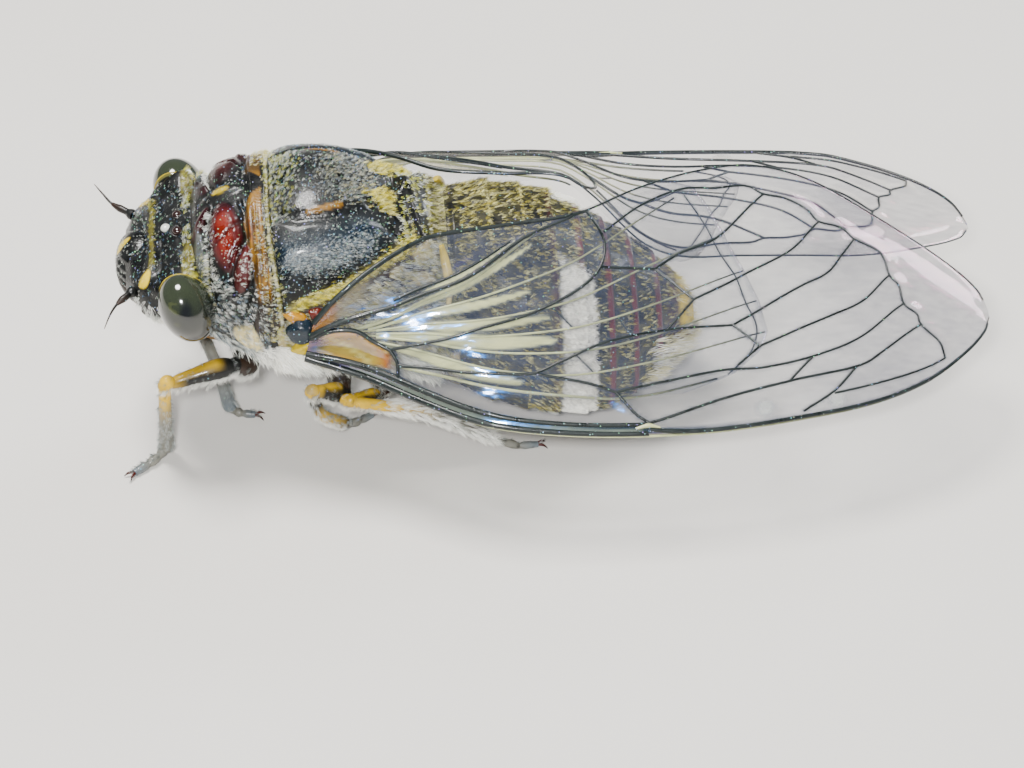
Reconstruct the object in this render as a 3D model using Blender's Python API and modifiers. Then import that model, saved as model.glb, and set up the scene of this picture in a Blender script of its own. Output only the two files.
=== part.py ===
# Widehead cicada at rest, life size: trunk, head, eyes, legs and folded wings as separate closed solids.
# Sizes are in millimetres in a working frame whose X runs from the head's front to the tail,
# whose -Y is the insect's left side and whose +Z is up, with the floor at Z = 0.
import math

import bmesh
import bpy
from mathutils import Matrix, Vector

# Driving sizes, mm
MM = 0.001
BODY_END_X = 36.2
WING_TIP_X = 54.5
SEAM_GAP = 0.12
WING_THICKNESS = 0.5
WING_LAYER = 0.85
TRUNK_SIDES = 28
HEAD_SIDES = 24

# Trunk outline, front to back: x, half width, top, bottom
TRUNK = (
    (4.8, 5.3, 16.3, 8.6),
    (6.4, 6.0, 17.6, 7.3),
    (8.0, 6.5, 18.1, 6.4),
    (9.4, 7.0, 18.2, 5.6),
    (11.5, 6.75, 18.9, 4.9),
    (13.5, 6.5, 18.9, 4.5),
    (15.5, 6.05, 18.3, 4.1),
    (17.5, 5.7, 17.4, 3.6),
    (19.2, 5.6, 16.6, 3.1),
    (21.0, 6.0, 15.7, 2.3),
    (23.0, 6.8, 15.4, 1.4),
    (25.5, 7.2, 14.8, 0.6),
    (28.0, 7.2, 13.7, 0.4),
    (30.0, 6.8, 12.1, 0.5),
    (31.6, 6.0, 11.0, 1.1),
    (33.0, 4.9, 10.1, 1.9),
    (34.4, 3.5, 9.0, 2.8),
    (35.5, 2.1, 7.8, 3.6),
    (BODY_END_X, 0.9, 6.5, 4.5),
)

# Head capsule outline, front to back, in the same columns, then how square its upper half is
HEAD = (
    (0.9, 3.6, 13.9, 10.8, 2.4),
    (1.8, 4.5, 14.4, 9.6, 2.9),
    (3.0, 5.0, 14.8, 9.0, 3.6),
    (4.0, 5.2, 15.4, 8.7, 3.6),
    (4.68, 5.2, 15.8, 8.6, 3.0),
)

# Where the trunk is parted, x
PRONOTUM_X = 4.8
COLLAR_X = (8.35, 9.75)
MESONOTUM_X = 9.75
CRUCIFORM_X = 17.6
METANOTUM_X = (19.4, 20.8)
ABDOMEN_X = (20.8, 23.2, 25.3, 27.2, 29.0, 30.7, 32.3, 33.9)

# The mesonotum's side margin rises towards the tail: its height at a given x, and its slope
SIDE_MARGIN_X = 10.2
SIDE_MARGIN_Z = 13.1
SIDE_MARGIN_SLOPE = 0.28
PROSTERNUM_Z = 9.4

# Eyes and face
EYE_CENTRE = (4.0, 5.4, 12.95)
EYE_HALF = (1.6, 1.75, 2.2)
EYE_TILT = math.radians(14)
FACE_CENTRE = (1.75, 0.0, 11.35)
FACE_HALF = (1.85, 2.35, 2.6)
FACE_TILT = math.radians(-14)

# Forewing edges, base to tip: x, distance from the body's middle plane to the wing's side, z.
# The left wing lies on the right one, so it is steeper; the right one is flatter and wider.
LEFT_COSTA = (
    (11.3, 7.75, 10.5),
    (14.6, 8.75, 9.75),
    (18.4, 10.9, 9.25),
    (21.5, 12.5, 8.95),
    (24.8, 13.2, 8.6),
    (30.0, 13.5, 8.2),
    (36.0, 13.3, 8.0),
    (42.1, 12.3, 7.85),
    (46.5, 11.2, 7.8),
    (50.0, 9.5, 7.8),
    (52.5, 7.4, 7.9),
    (54.0, 5.6, 8.0),
    (WING_TIP_X, 4.3, 8.05),
)
LEFT_HIND_EDGE = (
    (11.9, 7.4, 13.0),
    (13.0, 7.0, 14.2),
    (14.9, 6.05, 15.4),
    (17.4, 4.5, 16.1),
    (19.3, 3.45, 16.25),
    (23.7, 2.5, 16.1),
    (27.9, 1.85, 16.15),
    (29.8, 1.1, 16.2),
    (32.4, -0.2, 16.2),
    (36.6, -2.1, 15.8),
    (40.0, -2.95, 15.3),
    (43.7, -2.65, 14.1),
    (48.2, -0.8, 12.0),
    (52.1, 0.8, 9.7),
    (54.0, 2.2, 8.5),
    (WING_TIP_X, 3.6, 8.1),
)
RIGHT_COSTA = (
    (11.3, 7.75, 10.5),
    (14.6, 9.6, 9.8),
    (19.0, 12.3, 9.2),
    (23.4, 13.0, 8.75),
    (32.7, 13.35, 8.1),
    (42.0, 13.1, 7.85),
    (46.0, 12.6, 7.8),
    (48.1, 11.7, 7.8),
    (50.4, 10.4, 7.8),
    (52.4, 8.8, 7.85),
    (53.8, 7.0, 7.9),
    (WING_TIP_X, 5.0, 7.9),
)
RIGHT_HIND_EDGE = (
    (11.9, 7.4, 13.0),
    (13.0, 7.0, 14.2),
    (14.9, 6.05, 15.4),
    (17.4, 4.5, 16.1),
    (20.2, 2.95, 16.1),
    (24.0, 2.4, 16.0),
    (28.0, 1.95, 15.9),
    (29.8, 0.5, 15.3),
    (32.4, -2.4, 14.1),
    (34.8, -3.2, 13.4),
    (38.7, -2.7, 12.75),
    (42.5, -2.2, 12.1),
    (46.8, -1.1, 10.9),
    (51.1, 1.3, 9.25),
    (53.7, 3.1, 8.3),
    (WING_TIP_X, 4.4, 7.95),
)
LEFT_EDGES = (LEFT_COSTA, LEFT_HIND_EDGE)
RIGHT_EDGES = (RIGHT_COSTA, RIGHT_HIND_EDGE)
WING_ARCH = 0.7
FOREWING_ROWS = 20
FOREWING_COLUMNS = 6

# Hindwing, as a part of the forewing's sheet laid under it: x reach and share of the chord
HINDWING_X = (15.4, 40.2)
HINDWING_SHARE = (0.13, 0.8, 0.58)
HINDWING_NARROWS_X = (24.0, 29.0)
HINDWING_ROWS = 12
HINDWING_COLUMNS = 5

# Legs: gap at each joint, and how far the coxa starts and ends off the thorax
LEG_STEP = 0.38
HIP_STEP = 0.75
COXA_CLEARANCE = 0.5
COXA_LENGTH = 1.1

COLLECTION = bpy.data.collections.new("widehead_cicada")
GUIDES = bpy.data.collections.new("cutters")


def clear_scene():
    for thing in list(bpy.data.objects):
        bpy.data.objects.remove(thing, do_unlink=True)
    bpy.context.scene.collection.children.link(COLLECTION)
    bpy.context.scene.collection.children.link(GUIDES)


def material(name, colour, roughness, metallic=0.0, coat=0.0):
    made = bpy.data.materials.get(name)
    if made:
        return made
    made = bpy.data.materials.new(name)
    made.use_nodes = True
    shader = made.node_tree.nodes["Principled BSDF"]
    shader.inputs["Base Color"].default_value = (*colour, 1.0)
    shader.inputs["Roughness"].default_value = roughness
    shader.inputs["Metallic"].default_value = metallic
    shader.inputs["Coat Weight"].default_value = coat
    made.diffuse_color = (*colour, 1.0)
    return made


def black_shell():
    return material("black_shell", (0.025, 0.026, 0.022), 0.28, 0.0, 0.4)


def red_black_shell():
    return material("red_black_shell", (0.09, 0.02, 0.015), 0.25, 0.0, 0.5)


def ochre_shell():
    return material("ochre_shell", (0.42, 0.17, 0.03), 0.45)


def downy_shell():
    return material("downy_shell", (0.16, 0.13, 0.05), 0.7)


def olive_eye():
    return material("olive_eye", (0.09, 0.10, 0.07), 0.18, 0.0, 0.6)


def yellow_leg():
    return material("yellow_leg", (0.62, 0.33, 0.03), 0.4)


def grey_leg():
    return material("grey_leg", (0.22, 0.21, 0.17), 0.6)


def wing_film():
    return material("wing_film", (0.42, 0.48, 0.55), 0.12, 0.0, 0.5)


def hermite(table, x, column):
    """Smooth value of one column of a table at x, through every row."""
    last = len(table) - 1
    x = min(max(x, table[0][0]), table[last][0])
    row = 0
    while row < last - 1 and x > table[row + 1][0]:
        row += 1

    def slope(index):
        low = max(index - 1, 0)
        high = min(index + 1, last)
        return (table[high][column] - table[low][column]) / (table[high][0] - table[low][0])

    x0 = table[row][0]
    step = table[row + 1][0] - x0
    t = (x - x0) / step
    v0 = table[row][column]
    v1 = table[row + 1][column]
    rise = v1 - v0
    a = slope(row) * step - rise
    b = -slope(row + 1) * step + rise
    return v0 + t * rise + t * (1 - t) * ((1 - t) * a + t * b)


def link(name, mesh, finish, origin):
    """Put a mesh given in working millimetres into the collection, with its own origin point."""
    origin = Vector(origin)
    mesh.transform(Matrix.Scale(MM, 4) @ Matrix.Translation(-origin))
    mesh.materials.append(finish)
    mesh.shade_smooth()
    mesh.set_sharp_from_angle(angle=math.radians(45))
    made = bpy.data.objects.new(name, mesh)
    made.location = origin * MM
    COLLECTION.objects.link(made)
    return made


def mesh_from_rings(name, rings):
    """A closed loft through rings of equal length, with a flat cap at each end."""
    shape = bmesh.new()
    loops = [[shape.verts.new(point) for point in ring] for ring in rings]
    for near, far in zip(loops, loops[1:]):
        count = len(near)
        for i in range(count):
            j = (i + 1) % count
            shape.faces.new((near[i], near[j], far[j], far[i]))
    shape.faces.new(list(reversed(loops[0])))
    shape.faces.new(loops[-1])
    bmesh.ops.recalc_face_normals(shape, faces=shape.faces)
    mesh = bpy.data.meshes.new(name)
    shape.to_mesh(mesh)
    shape.free()
    return mesh


def body_ring(table, x, sides, swell=1.0):
    """Section of the body at x: an oval from the table, squarer above where a fifth column says so."""
    half_width = hermite(table, x, 1) * swell
    top = hermite(table, x, 2)
    bottom = hermite(table, x, 3)
    middle = (top + bottom) / 2
    half_height = (top - bottom) / 2 * swell
    square = hermite(table, x, 4) if len(table[0]) > 4 else 2.0
    ring = []
    for i in range(sides):
        angle = 2 * math.pi * i / sides
        across = math.cos(angle)
        up = math.sin(angle)
        power = square if up > 0 else 2.0
        reach = (abs(across) ** power + abs(up) ** power) ** (-1 / power)
        ring.append((x, half_width * reach * across, middle + half_height * reach * up))
    return ring


def body_mesh(name, table, x0, x1, rings, sides, lip=0.0):
    """A length of the body from x0 to x1, its front end drawn in by the share lip."""
    sections = []
    for i in range(rings):
        t = i / (rings - 1)
        swell = 1.0 - lip * (1.0 - t) ** 2
        sections.append(body_ring(table, x0 + (x1 - x0) * t, sides, swell))
    return mesh_from_rings(name, sections)


def cut_flat(mesh, point, normal):
    """Cut a closed mesh on a plane, drop the side that the normal points to, and close the cut."""
    shape = bmesh.new()
    shape.from_mesh(mesh)
    geometry = list(shape.verts) + list(shape.edges) + list(shape.faces)
    cut = bmesh.ops.bisect_plane(
        shape, geom=geometry, dist=1e-6, plane_co=point, plane_no=normal, clear_outer=True
    )
    rim = [item for item in cut["geom_cut"] if isinstance(item, bmesh.types.BMEdge)]
    bmesh.ops.edgeloop_fill(shape, edges=rim)
    bmesh.ops.recalc_face_normals(shape, faces=shape.faces)
    shape.to_mesh(mesh)
    shape.free()
    return mesh


def ellipsoid_mesh(name, centre, half, tilt, segments, rings, grow=0.0):
    """An ellipsoid turned about Y by tilt, its half axes grown by the same length each way."""
    shape = bmesh.new()
    bmesh.ops.create_uvsphere(shape, u_segments=segments, v_segments=rings, radius=1.0)
    stretch = Matrix.Diagonal((half[0] + grow, half[1] + grow, half[2] + grow, 1.0))
    place = Matrix.Translation(centre) @ Matrix.Rotation(tilt, 4, "Y") @ stretch
    bmesh.ops.transform(shape, matrix=place, verts=shape.verts)
    mesh = bpy.data.meshes.new(name)
    shape.to_mesh(mesh)
    shape.free()
    return mesh


def cutter(name, mesh):
    made = link(name, mesh, black_shell(), (0, 0, 0))
    COLLECTION.objects.unlink(made)
    GUIDES.objects.link(made)
    made.hide_render = True
    made.display_type = "WIRE"
    return made


def carve(target, tool):
    cut = target.modifiers.new("clear_" + tool.name, "BOOLEAN")
    cut.operation = "DIFFERENCE"
    cut.solver = "EXACT"
    cut.object = tool


def parted_by_margin(mesh, keep_above):
    """Keep the part of a trunk length above or below the mesonotum's side margin."""
    half_gap = SEAM_GAP / 2 if keep_above else -SEAM_GAP / 2
    point = Vector((SIDE_MARGIN_X, 0, SIDE_MARGIN_Z + half_gap))
    normal = Vector((-SIDE_MARGIN_SLOPE, 0, 1)).normalized()
    return cut_flat(mesh, point, -normal if keep_above else normal)


def make_head():
    capsule = body_mesh("head", HEAD, HEAD[0][0], HEAD[-1][0], 7, HEAD_SIDES)
    head = link("head", capsule, black_shell(), (3, 0, 12))
    hollow = ellipsoid_mesh("face_tool", FACE_CENTRE, FACE_HALF, FACE_TILT, 20, 12, SEAM_GAP)
    carve(head, cutter("face_clearance", hollow))
    face = ellipsoid_mesh("postclypeus", FACE_CENTRE, FACE_HALF, FACE_TILT, 20, 12)
    cut_flat(face, Vector((2.35, 0, 9.0)), Vector((1, 0, 0.12)).normalized())
    link("postclypeus", face, black_shell(), FACE_CENTRE)
    eye_tools = []
    for side, label in ((-1, "left"), (1, "right")):
        centre = (EYE_CENTRE[0], side * EYE_CENTRE[1], EYE_CENTRE[2])
        eye = ellipsoid_mesh("eye_" + label, centre, EYE_HALF, EYE_TILT, 20, 12)
        link("eye_" + label, eye, olive_eye(), centre)
        clearance = ellipsoid_mesh("eye_tool_" + label, centre, EYE_HALF, EYE_TILT, 20, 12, SEAM_GAP)
        tool = cutter("eye_clearance_" + label, clearance)
        carve(head, tool)
        eye_tools.append(tool)
    return eye_tools


def make_thorax(eye_tools):
    pronotum_mesh = body_mesh("pronotum", TRUNK, PRONOTUM_X, COLLAR_X[0] - SEAM_GAP, 6, TRUNK_SIDES)
    cut_flat(pronotum_mesh, Vector((0, 0, PROSTERNUM_Z + SEAM_GAP)), Vector((0, 0, -1)))
    pronotum = link("pronotum", pronotum_mesh, red_black_shell(), (6.5, 0, 13))
    for tool in eye_tools:
        carve(pronotum, tool)
    chest = body_mesh("prosternum", TRUNK, PRONOTUM_X, COLLAR_X[0] - SEAM_GAP, 5, TRUNK_SIDES)
    cut_flat(chest, Vector((0, 0, PROSTERNUM_Z)), Vector((0, 0, 1)))
    link("prosternum", chest, downy_shell(), (6.5, 0, 8))
    collar = body_mesh("pronotal_collar", TRUNK, COLLAR_X[0], COLLAR_X[1] - SEAM_GAP, 3, TRUNK_SIDES)
    link("pronotal_collar", collar, ochre_shell(), (9, 0, 12))
    shield = body_mesh("mesonotum", TRUNK, MESONOTUM_X, CRUCIFORM_X - SEAM_GAP, 8, TRUNK_SIDES, 0.03)
    link("mesonotum", parted_by_margin(shield, True), black_shell(), (13, 0, 15))
    cross_end = METANOTUM_X[0] - SEAM_GAP
    cross = body_mesh("cruciform_elevation", TRUNK, CRUCIFORM_X, cross_end, 4, TRUNK_SIDES, 0.03)
    link("cruciform_elevation", parted_by_margin(cross, True), black_shell(), (18.5, 0, 15.5))
    flank = body_mesh("thorax_side", TRUNK, MESONOTUM_X, METANOTUM_X[0] - SEAM_GAP, 9, TRUNK_SIDES)
    link("thorax_side", parted_by_margin(flank, False), downy_shell(), (14, 0, 9))
    waist = body_mesh("metanotum", TRUNK, METANOTUM_X[0], METANOTUM_X[1] - SEAM_GAP, 3, TRUNK_SIDES)
    link("metanotum", waist, downy_shell(), (20, 0, 9))


def make_abdomen():
    stops = list(ABDOMEN_X) + [BODY_END_X + SEAM_GAP]
    for i, (x0, x1) in enumerate(zip(stops, stops[1:])):
        last = i == len(stops) - 2
        name = "abdomen_tip" if last else "abdomen_segment_%d" % (i + 1)
        rings = 6 if last else 4
        mesh = body_mesh(name, TRUNK, x0, x1 - SEAM_GAP, rings, TRUNK_SIDES, 0.04)
        link(name, mesh, downy_shell(), ((x0 + x1) / 2, 0, 6))


def limb(name, points, radii, finish):
    """A leg length or feeler: a round bar of changing thickness along a line of points."""
    curve = bpy.data.curves.new(name, "CURVE")
    curve.dimensions = "3D"
    curve.bevel_depth = MM
    curve.bevel_resolution = 2
    curve.use_fill_caps = True
    spline = curve.splines.new("POLY")
    spline.points.add(len(points) - 1)
    origin = Vector(points[0])
    for slot, point, radius in zip(spline.points, points, radii):
        slot.co = (*((Vector(point) - origin) * MM), 1.0)
        slot.radius = radius
    curve.materials.append(finish)
    made = bpy.data.objects.new(name, curve)
    made.location = origin * MM
    COLLECTION.objects.link(made)
    return made


def foot(name, points, radii, finish):
    """A limb whose lowest part is pressed flat on the floor, so that the leg stands on it."""
    bar = limb(name + "_bar", points, radii, finish)
    graph = bpy.context.evaluated_depsgraph_get()
    graph.update()
    mesh = bpy.data.meshes.new_from_object(bar.evaluated_get(graph), depsgraph=graph)
    shape = bmesh.new()
    shape.from_mesh(mesh)
    bmesh.ops.remove_doubles(shape, verts=shape.verts, dist=1e-7)
    for vert in shape.verts:
        if vert.co.z + bar.location.z < 0:
            vert.co.z = -bar.location.z
    shape.to_mesh(mesh)
    shape.free()
    mesh.name = name
    made = bpy.data.objects.new(name, mesh)
    made.location = bar.location
    bpy.data.objects.remove(bar, do_unlink=True)
    COLLECTION.objects.link(made)
    return made


def stepped_back(start, end, gap):
    """The point a gap short of end on the way from start."""
    way = Vector(end) - Vector(start)
    return tuple(Vector(end) - way.normalized() * gap)


def make_coxa(label, root, hip, radius, finish):
    """The stout first length of a leg, off the thorax at root: x, side, degrees below level."""
    x, side, below = root
    top = hermite(TRUNK, x, 2)
    bottom = hermite(TRUNK, x, 3)
    middle = (top + bottom) / 2
    half_height = (top - bottom) / 2
    half_width = hermite(TRUNK, x, 1)
    angle = math.radians(below)
    skin = Vector((x, side * half_width * math.cos(angle), middle - half_height * math.sin(angle)))
    out = Vector((0, side * math.cos(angle) / half_width, -math.sin(angle) / half_height)).normalized()
    first = skin + out * COXA_CLEARANCE
    elbow = skin + out * COXA_LENGTH
    path = (first, elbow, stepped_back(elbow, hip, LEG_STEP))
    limb("coxa_" + label, path, (radius, radius * 1.15, radius * 0.8), finish)


def make_leg(label, root, hip, knee, shin, ankle, toes, thickness, finishes):
    """One leg: coxa at the thorax, femur to the knee, tibia, and tarsus flat on the floor."""
    femur_r, tibia_r, tarsus_r = thickness
    make_coxa(label, root, hip, femur_r * 1.15, finishes[0])
    hip = stepped_back(knee, hip, HIP_STEP)
    middle = tuple((Vector(hip) * 0.55) + (Vector(knee) * 0.45))
    limb("femur_" + label, (hip, middle, knee), (femur_r * 0.8, femur_r, femur_r * 0.75), finishes[0])
    below_knee = shin[0] if shin else ankle
    first = stepped_back(below_knee, knee, knee_gap(hip, knee, below_knee, femur_r, tibia_r))
    path = [first] + list(shin) + [stepped_back(path_end(shin, knee), ankle, LEG_STEP)]
    radii = [tibia_r * 0.95] + [tibia_r] * len(shin) + [tibia_r * 0.85]
    limb("tibia_" + label, path, radii, finishes[1])
    toe_radii = (tarsus_r,) * len(toes) + (tarsus_r * 0.7,)
    foot("tarsus_" + label, (ankle,) + tuple(toes), toe_radii, finishes[2])


def knee_gap(hip, knee, below_knee, femur_r, tibia_r):
    """How far from the knee the tibia starts, so that a sharply folded one stays off the femur."""
    fold = (Vector(hip) - Vector(knee)).angle(Vector(below_knee) - Vector(knee))
    open_gap = femur_r * 0.75 + tibia_r * 1.2 + SEAM_GAP
    if fold >= math.pi / 2:
        return open_gap
    return max(open_gap, (femur_r + SEAM_GAP + tibia_r * math.cos(fold)) / math.sin(fold))


def path_end(shin, knee):
    return shin[-1] if shin else knee


def make_legs():
    tones = (black_shell(), yellow_leg(), grey_leg())
    fore = (0.62, 0.46, 0.34)
    make_leg(
        "fore_left", (7.6, -1, 52), (6.9, -5.1, 7.7), (2.5, -6.3, 7.35), (),
        (2.25, -4.95, 0.75), ((1.1, -5.9, 0.16), (0.0, -6.75, 0.16)), fore, tones,
    )
    make_leg(
        "fore_right", (7.4, 1, 58), (6.5, 4.0, 6.4), (4.8, 1.5, 4.9), ((5.75, -0.9, 3.3),),
        (6.3, -1.5, 0.75), ((6.9, -1.6, 0.16), (7.8, -1.75, 0.16)), fore, tones,
    )
    middle = (0.6, 0.44, 0.32)
    make_leg(
        "mid_left", (13.4, -1, 50), (13.6, -5.6, 5.3), (11.6, -6.8, 6.7), ((12.2, -5.95, 3.9),),
        (13.5, -3.7, 0.85), ((14.5, -2.9, 0.15), (15.4, -2.3, 0.15)), middle, tones,
    )
    make_leg(
        "mid_right", (12.8, 1, 52), (12.4, 5.6, 5.2), (11.4, 8.2, 6.2), (),
        (12.4, 8.4, 0.75), ((13.4, 8.7, 0.15), (14.6, 8.9, 0.15)), middle, tones,
    )
    hind = (0.6, 0.42, 0.3)
    make_leg(
        "hind_left", (16.2, -1, 58), (15.9, -4.7, 3.9), (14.0, -6.7, 5.7), ((18.5, -6.5, 4.2),),
        (22.6, -6.2, 1.7), ((24.2, -6.0, 0.55), (25.2, -5.85, 0.14), (25.9, -5.75, 0.14)), hind, tones,
    )
    make_leg(
        "hind_right", (16.2, 1, 58), (15.9, 4.7, 3.9), (14.4, 7.3, 5.6), ((18.0, 8.1, 3.6),),
        (21.6, 8.5, 1.2), ((23.0, 8.6, 0.14), (24.6, 8.5, 0.14)), hind, tones,
    )


def make_feelers():
    tone = black_shell()
    left = ((0.55, -3.95, 12.9), (-0.1, -4.55, 12.75), (-0.55, -5.1, 12.4), (-0.95, -5.7, 11.8))
    right = ((0.55, 3.95, 12.9), (-0.4, 4.6, 13.1), (-1.0, 5.3, 13.4), (-1.5, 5.9, 13.7))
    for label, line in (("left", left), ("right", right)):
        limb("antenna_" + label, line, (0.34, 0.27, 0.26, 0.25), tone)
    limb("anteclypeus", ((2.15, 0, 7.9), (2.75, 0, 7.4)), (0.75, 0.6), tone)
    limb("rostrum", ((2.95, 0, 7.3), (5.2, 0, 6.0), (9.6, 0, 4.1)), (0.45, 0.4, 0.27), tone)


def wing_point(edges, along, across, lift=0.0):
    """A point of a forewing's sheet: across is 0 at the costal edge and 1 at the hind edge."""
    costal_x = edges[0][0][0] + (WING_TIP_X - edges[0][0][0]) * along
    hind_x = edges[1][0][0] + (WING_TIP_X - edges[1][0][0]) * along
    costal = Vector((costal_x, -hermite(edges[0], costal_x, 1), hermite(edges[0], costal_x, 2)))
    hind = Vector((hind_x, -hermite(edges[1], hind_x, 1), hermite(edges[1], hind_x, 2)))
    chord = hind - costal
    out = Vector((0.0, -chord.z, chord.y))
    if out.length > 0:
        out.normalize()
    arch = WING_ARCH * 4 * across * (1 - across) * min(1.0, chord.length / 12.0)
    return costal + chord * across + out * (arch + lift)


def wing_sheet(name, side, grid, finish):
    """An open grid of points given a wall by Solidify, on the left (-1) or right (1) side."""
    shape = bmesh.new()
    rows = [[shape.verts.new((p.x, p.y * -side, p.z)) for p in line] for line in grid]
    for near, far in zip(rows, rows[1:]):
        for i in range(len(near) - 1):
            shape.faces.new((near[i], near[i + 1], far[i + 1], far[i]))
    bmesh.ops.recalc_face_normals(shape, faces=shape.faces)
    mesh = bpy.data.meshes.new(name)
    shape.to_mesh(mesh)
    shape.free()
    wing = link(name, mesh, finish, (12, side * 7, 11))
    wall = wing.modifiers.new("wall", "SOLIDIFY")
    wall.thickness = WING_THICKNESS * MM
    wall.offset = 0.0
    return wing


def forewing_grid(edges):
    grid = []
    for i in range(FOREWING_ROWS + 1):
        along = math.sin(math.pi / 2 * i / FOREWING_ROWS) ** 0.9
        grid.append([wing_point(edges, along, j / FOREWING_COLUMNS) for j in range(FOREWING_COLUMNS + 1)])
    return grid


def hindwing_grid(edges):
    """The hindwing's sheet under the forewing, narrower beside the body's end, rounded outside."""
    grid = []
    low, wide, narrow = HINDWING_SHARE
    base_x = edges[0][0][0]
    for i in range(HINDWING_ROWS + 1):
        t = math.sin(math.pi / 2 * i / HINDWING_ROWS)
        x = HINDWING_X[0] + (HINDWING_X[1] - HINDWING_X[0]) * t
        squeeze = (x - HINDWING_NARROWS_X[0]) / (HINDWING_NARROWS_X[1] - HINDWING_NARROWS_X[0])
        high = wide + (narrow - wide) * min(max(squeeze, 0.0), 1.0)
        round_off = math.sqrt(max(1 - max((t - 0.7) / 0.3, 0.0) ** 2.4, 0.0))
        middle = (low + narrow) / 2
        row = []
        for j in range(HINDWING_COLUMNS + 1):
            share = low + (high - low) * j / HINDWING_COLUMNS
            share = middle + (share - middle) * max(round_off, 0.15)
            row.append(wing_point(edges, (x - base_x) / (WING_TIP_X - base_x), share, -WING_LAYER))
        grid.append(row)
    return grid


def make_wings():
    film = wing_film()
    for label, side, edges in (("left", -1, LEFT_EDGES), ("right", 1, RIGHT_EDGES)):
        wing_sheet("forewing_" + label, side, forewing_grid(edges), film)
        wing_sheet("hindwing_" + label, side, hindwing_grid(edges), film)


def centre_on_floor():
    """Carry every part on one empty, so that the whole stands over the origin on Z = 0."""
    bpy.context.view_layer.update()
    graph = bpy.context.evaluated_depsgraph_get()
    low = Vector((math.inf,) * 3)
    high = Vector((-math.inf,) * 3)
    for part in COLLECTION.objects:
        seen = part.evaluated_get(graph)
        for vert in seen.to_mesh().vertices:
            world = part.matrix_world @ vert.co
            low = Vector(map(min, low, world))
            high = Vector(map(max, high, world))
        seen.to_mesh_clear()
    stand = bpy.data.objects.new("cicada_origin", None)
    stand.location = (-(low.x + high.x) / 2, -(low.y + high.y) / 2, -low.z)
    for part in list(COLLECTION.objects) + list(GUIDES.objects):
        part.parent = stand
    COLLECTION.objects.link(stand)
    bpy.context.view_layer.update()
    print("centred by", tuple(round(value * 1000, 3) for value in stand.location))


clear_scene()
make_thorax(make_head())
make_abdomen()
make_legs()
make_feelers()
make_wings()
centre_on_floor()
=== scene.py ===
# %% [markdown]
# # A widehead cicada at rest, life size
# A cicada's body is a stiff shell of dark plates, with short pile in the hollows and on the rims.
# Its clear wings fold over the back like a roof, and fine legs hold it just off the floor.
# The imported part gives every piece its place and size. This script dresses it: plates with their
# swellings and grooves, eyes, veined wings, hairy legs and tens of thousands of small tufts.

# %% Load the fixed frame
import math
import bpy
import numpy as np
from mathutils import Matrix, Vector


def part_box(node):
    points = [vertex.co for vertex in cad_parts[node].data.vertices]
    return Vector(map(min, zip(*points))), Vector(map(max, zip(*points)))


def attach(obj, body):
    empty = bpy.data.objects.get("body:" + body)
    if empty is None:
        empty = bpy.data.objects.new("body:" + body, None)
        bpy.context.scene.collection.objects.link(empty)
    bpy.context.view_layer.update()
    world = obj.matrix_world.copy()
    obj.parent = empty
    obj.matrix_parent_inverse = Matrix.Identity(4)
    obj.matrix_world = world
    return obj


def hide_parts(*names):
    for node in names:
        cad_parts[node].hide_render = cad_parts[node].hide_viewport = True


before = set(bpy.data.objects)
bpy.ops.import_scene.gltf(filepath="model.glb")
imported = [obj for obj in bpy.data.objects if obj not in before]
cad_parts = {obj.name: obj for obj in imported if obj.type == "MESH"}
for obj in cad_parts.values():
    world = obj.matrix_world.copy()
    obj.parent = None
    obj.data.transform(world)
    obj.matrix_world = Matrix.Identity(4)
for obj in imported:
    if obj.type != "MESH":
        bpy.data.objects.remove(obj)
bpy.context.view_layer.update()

# %% [markdown]
# All shapes below are thought out in millimetres, with X from the head's front to the tail, minus Y
# on the insect's left and Z up from the floor. The left eye's box in the frame tells where that
# drawing lies, so one shift carries every point to its place in metres.

# %% From drawing millimetres to the frame
MM = 0.001
EYE_MIDDLE = np.array((4.0, -5.4, 12.95))
eye_low, eye_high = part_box("eye_left")
SHIFT = np.array((eye_low + eye_high) / 2) - EYE_MIDDLE * MM
print("drawing is shifted by, mm:", (SHIFT * 1000).round(3))


def linear(code):
    """An sRGB hex colour as linear red, green and blue."""
    parts = [int(code[i:i + 2], 16) / 255 for i in (1, 3, 5)]
    return tuple(c / 12.92 if c <= 0.04045 else ((c + 0.055) / 1.055) ** 2.4 for c in parts)


def smooth(t):
    """0 below 0 and 1 above 1, with a soft rise between."""
    t = np.clip(t, 0.0, 1.0)
    return t * t * (3 - 2 * t)


def table_value(table, x, column):
    """One column of an outline table at x, smoothly through every row, for a whole array of x."""
    rows = np.array(table, float)
    xs, values = rows[:, 0], rows[:, column]
    last = len(xs) - 1
    x = np.clip(x, xs[0], xs[-1])
    k = np.clip(np.searchsorted(xs, x, side="left") - 1, 0, last - 1)
    lower = np.maximum(np.arange(last + 1) - 1, 0)
    upper = np.minimum(np.arange(last + 1) + 1, last)
    slopes = (values[upper] - values[lower]) / (xs[upper] - xs[lower])
    step = xs[k + 1] - xs[k]
    t = (x - xs[k]) / step
    rise = values[k + 1] - values[k]
    a = slopes[k] * step - rise
    b = rise - slopes[k + 1] * step
    return values[k] + t * rise + t * (1 - t) * ((1 - t) * a + t * b)


# %% Distances and ovals on the unrolled shell, for its marks and grooves
def line_distance(u, v, path):
    """How far each point of the unrolled shell is from a line of points, in the drawing's mm."""
    best = np.full(np.shape(u), 1e9)
    for (u0, v0), (u1, v1) in zip(path, path[1:]):
        du, dv = u1 - u0, v1 - v0
        t = np.clip(((u - u0) * du + (v - v0) * dv) / (du * du + dv * dv), 0, 1)
        best = np.minimum(best, np.hypot(u - u0 - t * du, v - v0 - t * dv))
    return best


def bell(value, middle, width):
    """1 where a value is at the middle, fading to both sides."""
    return np.exp(-((value - middle) / width) ** 2)


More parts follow.
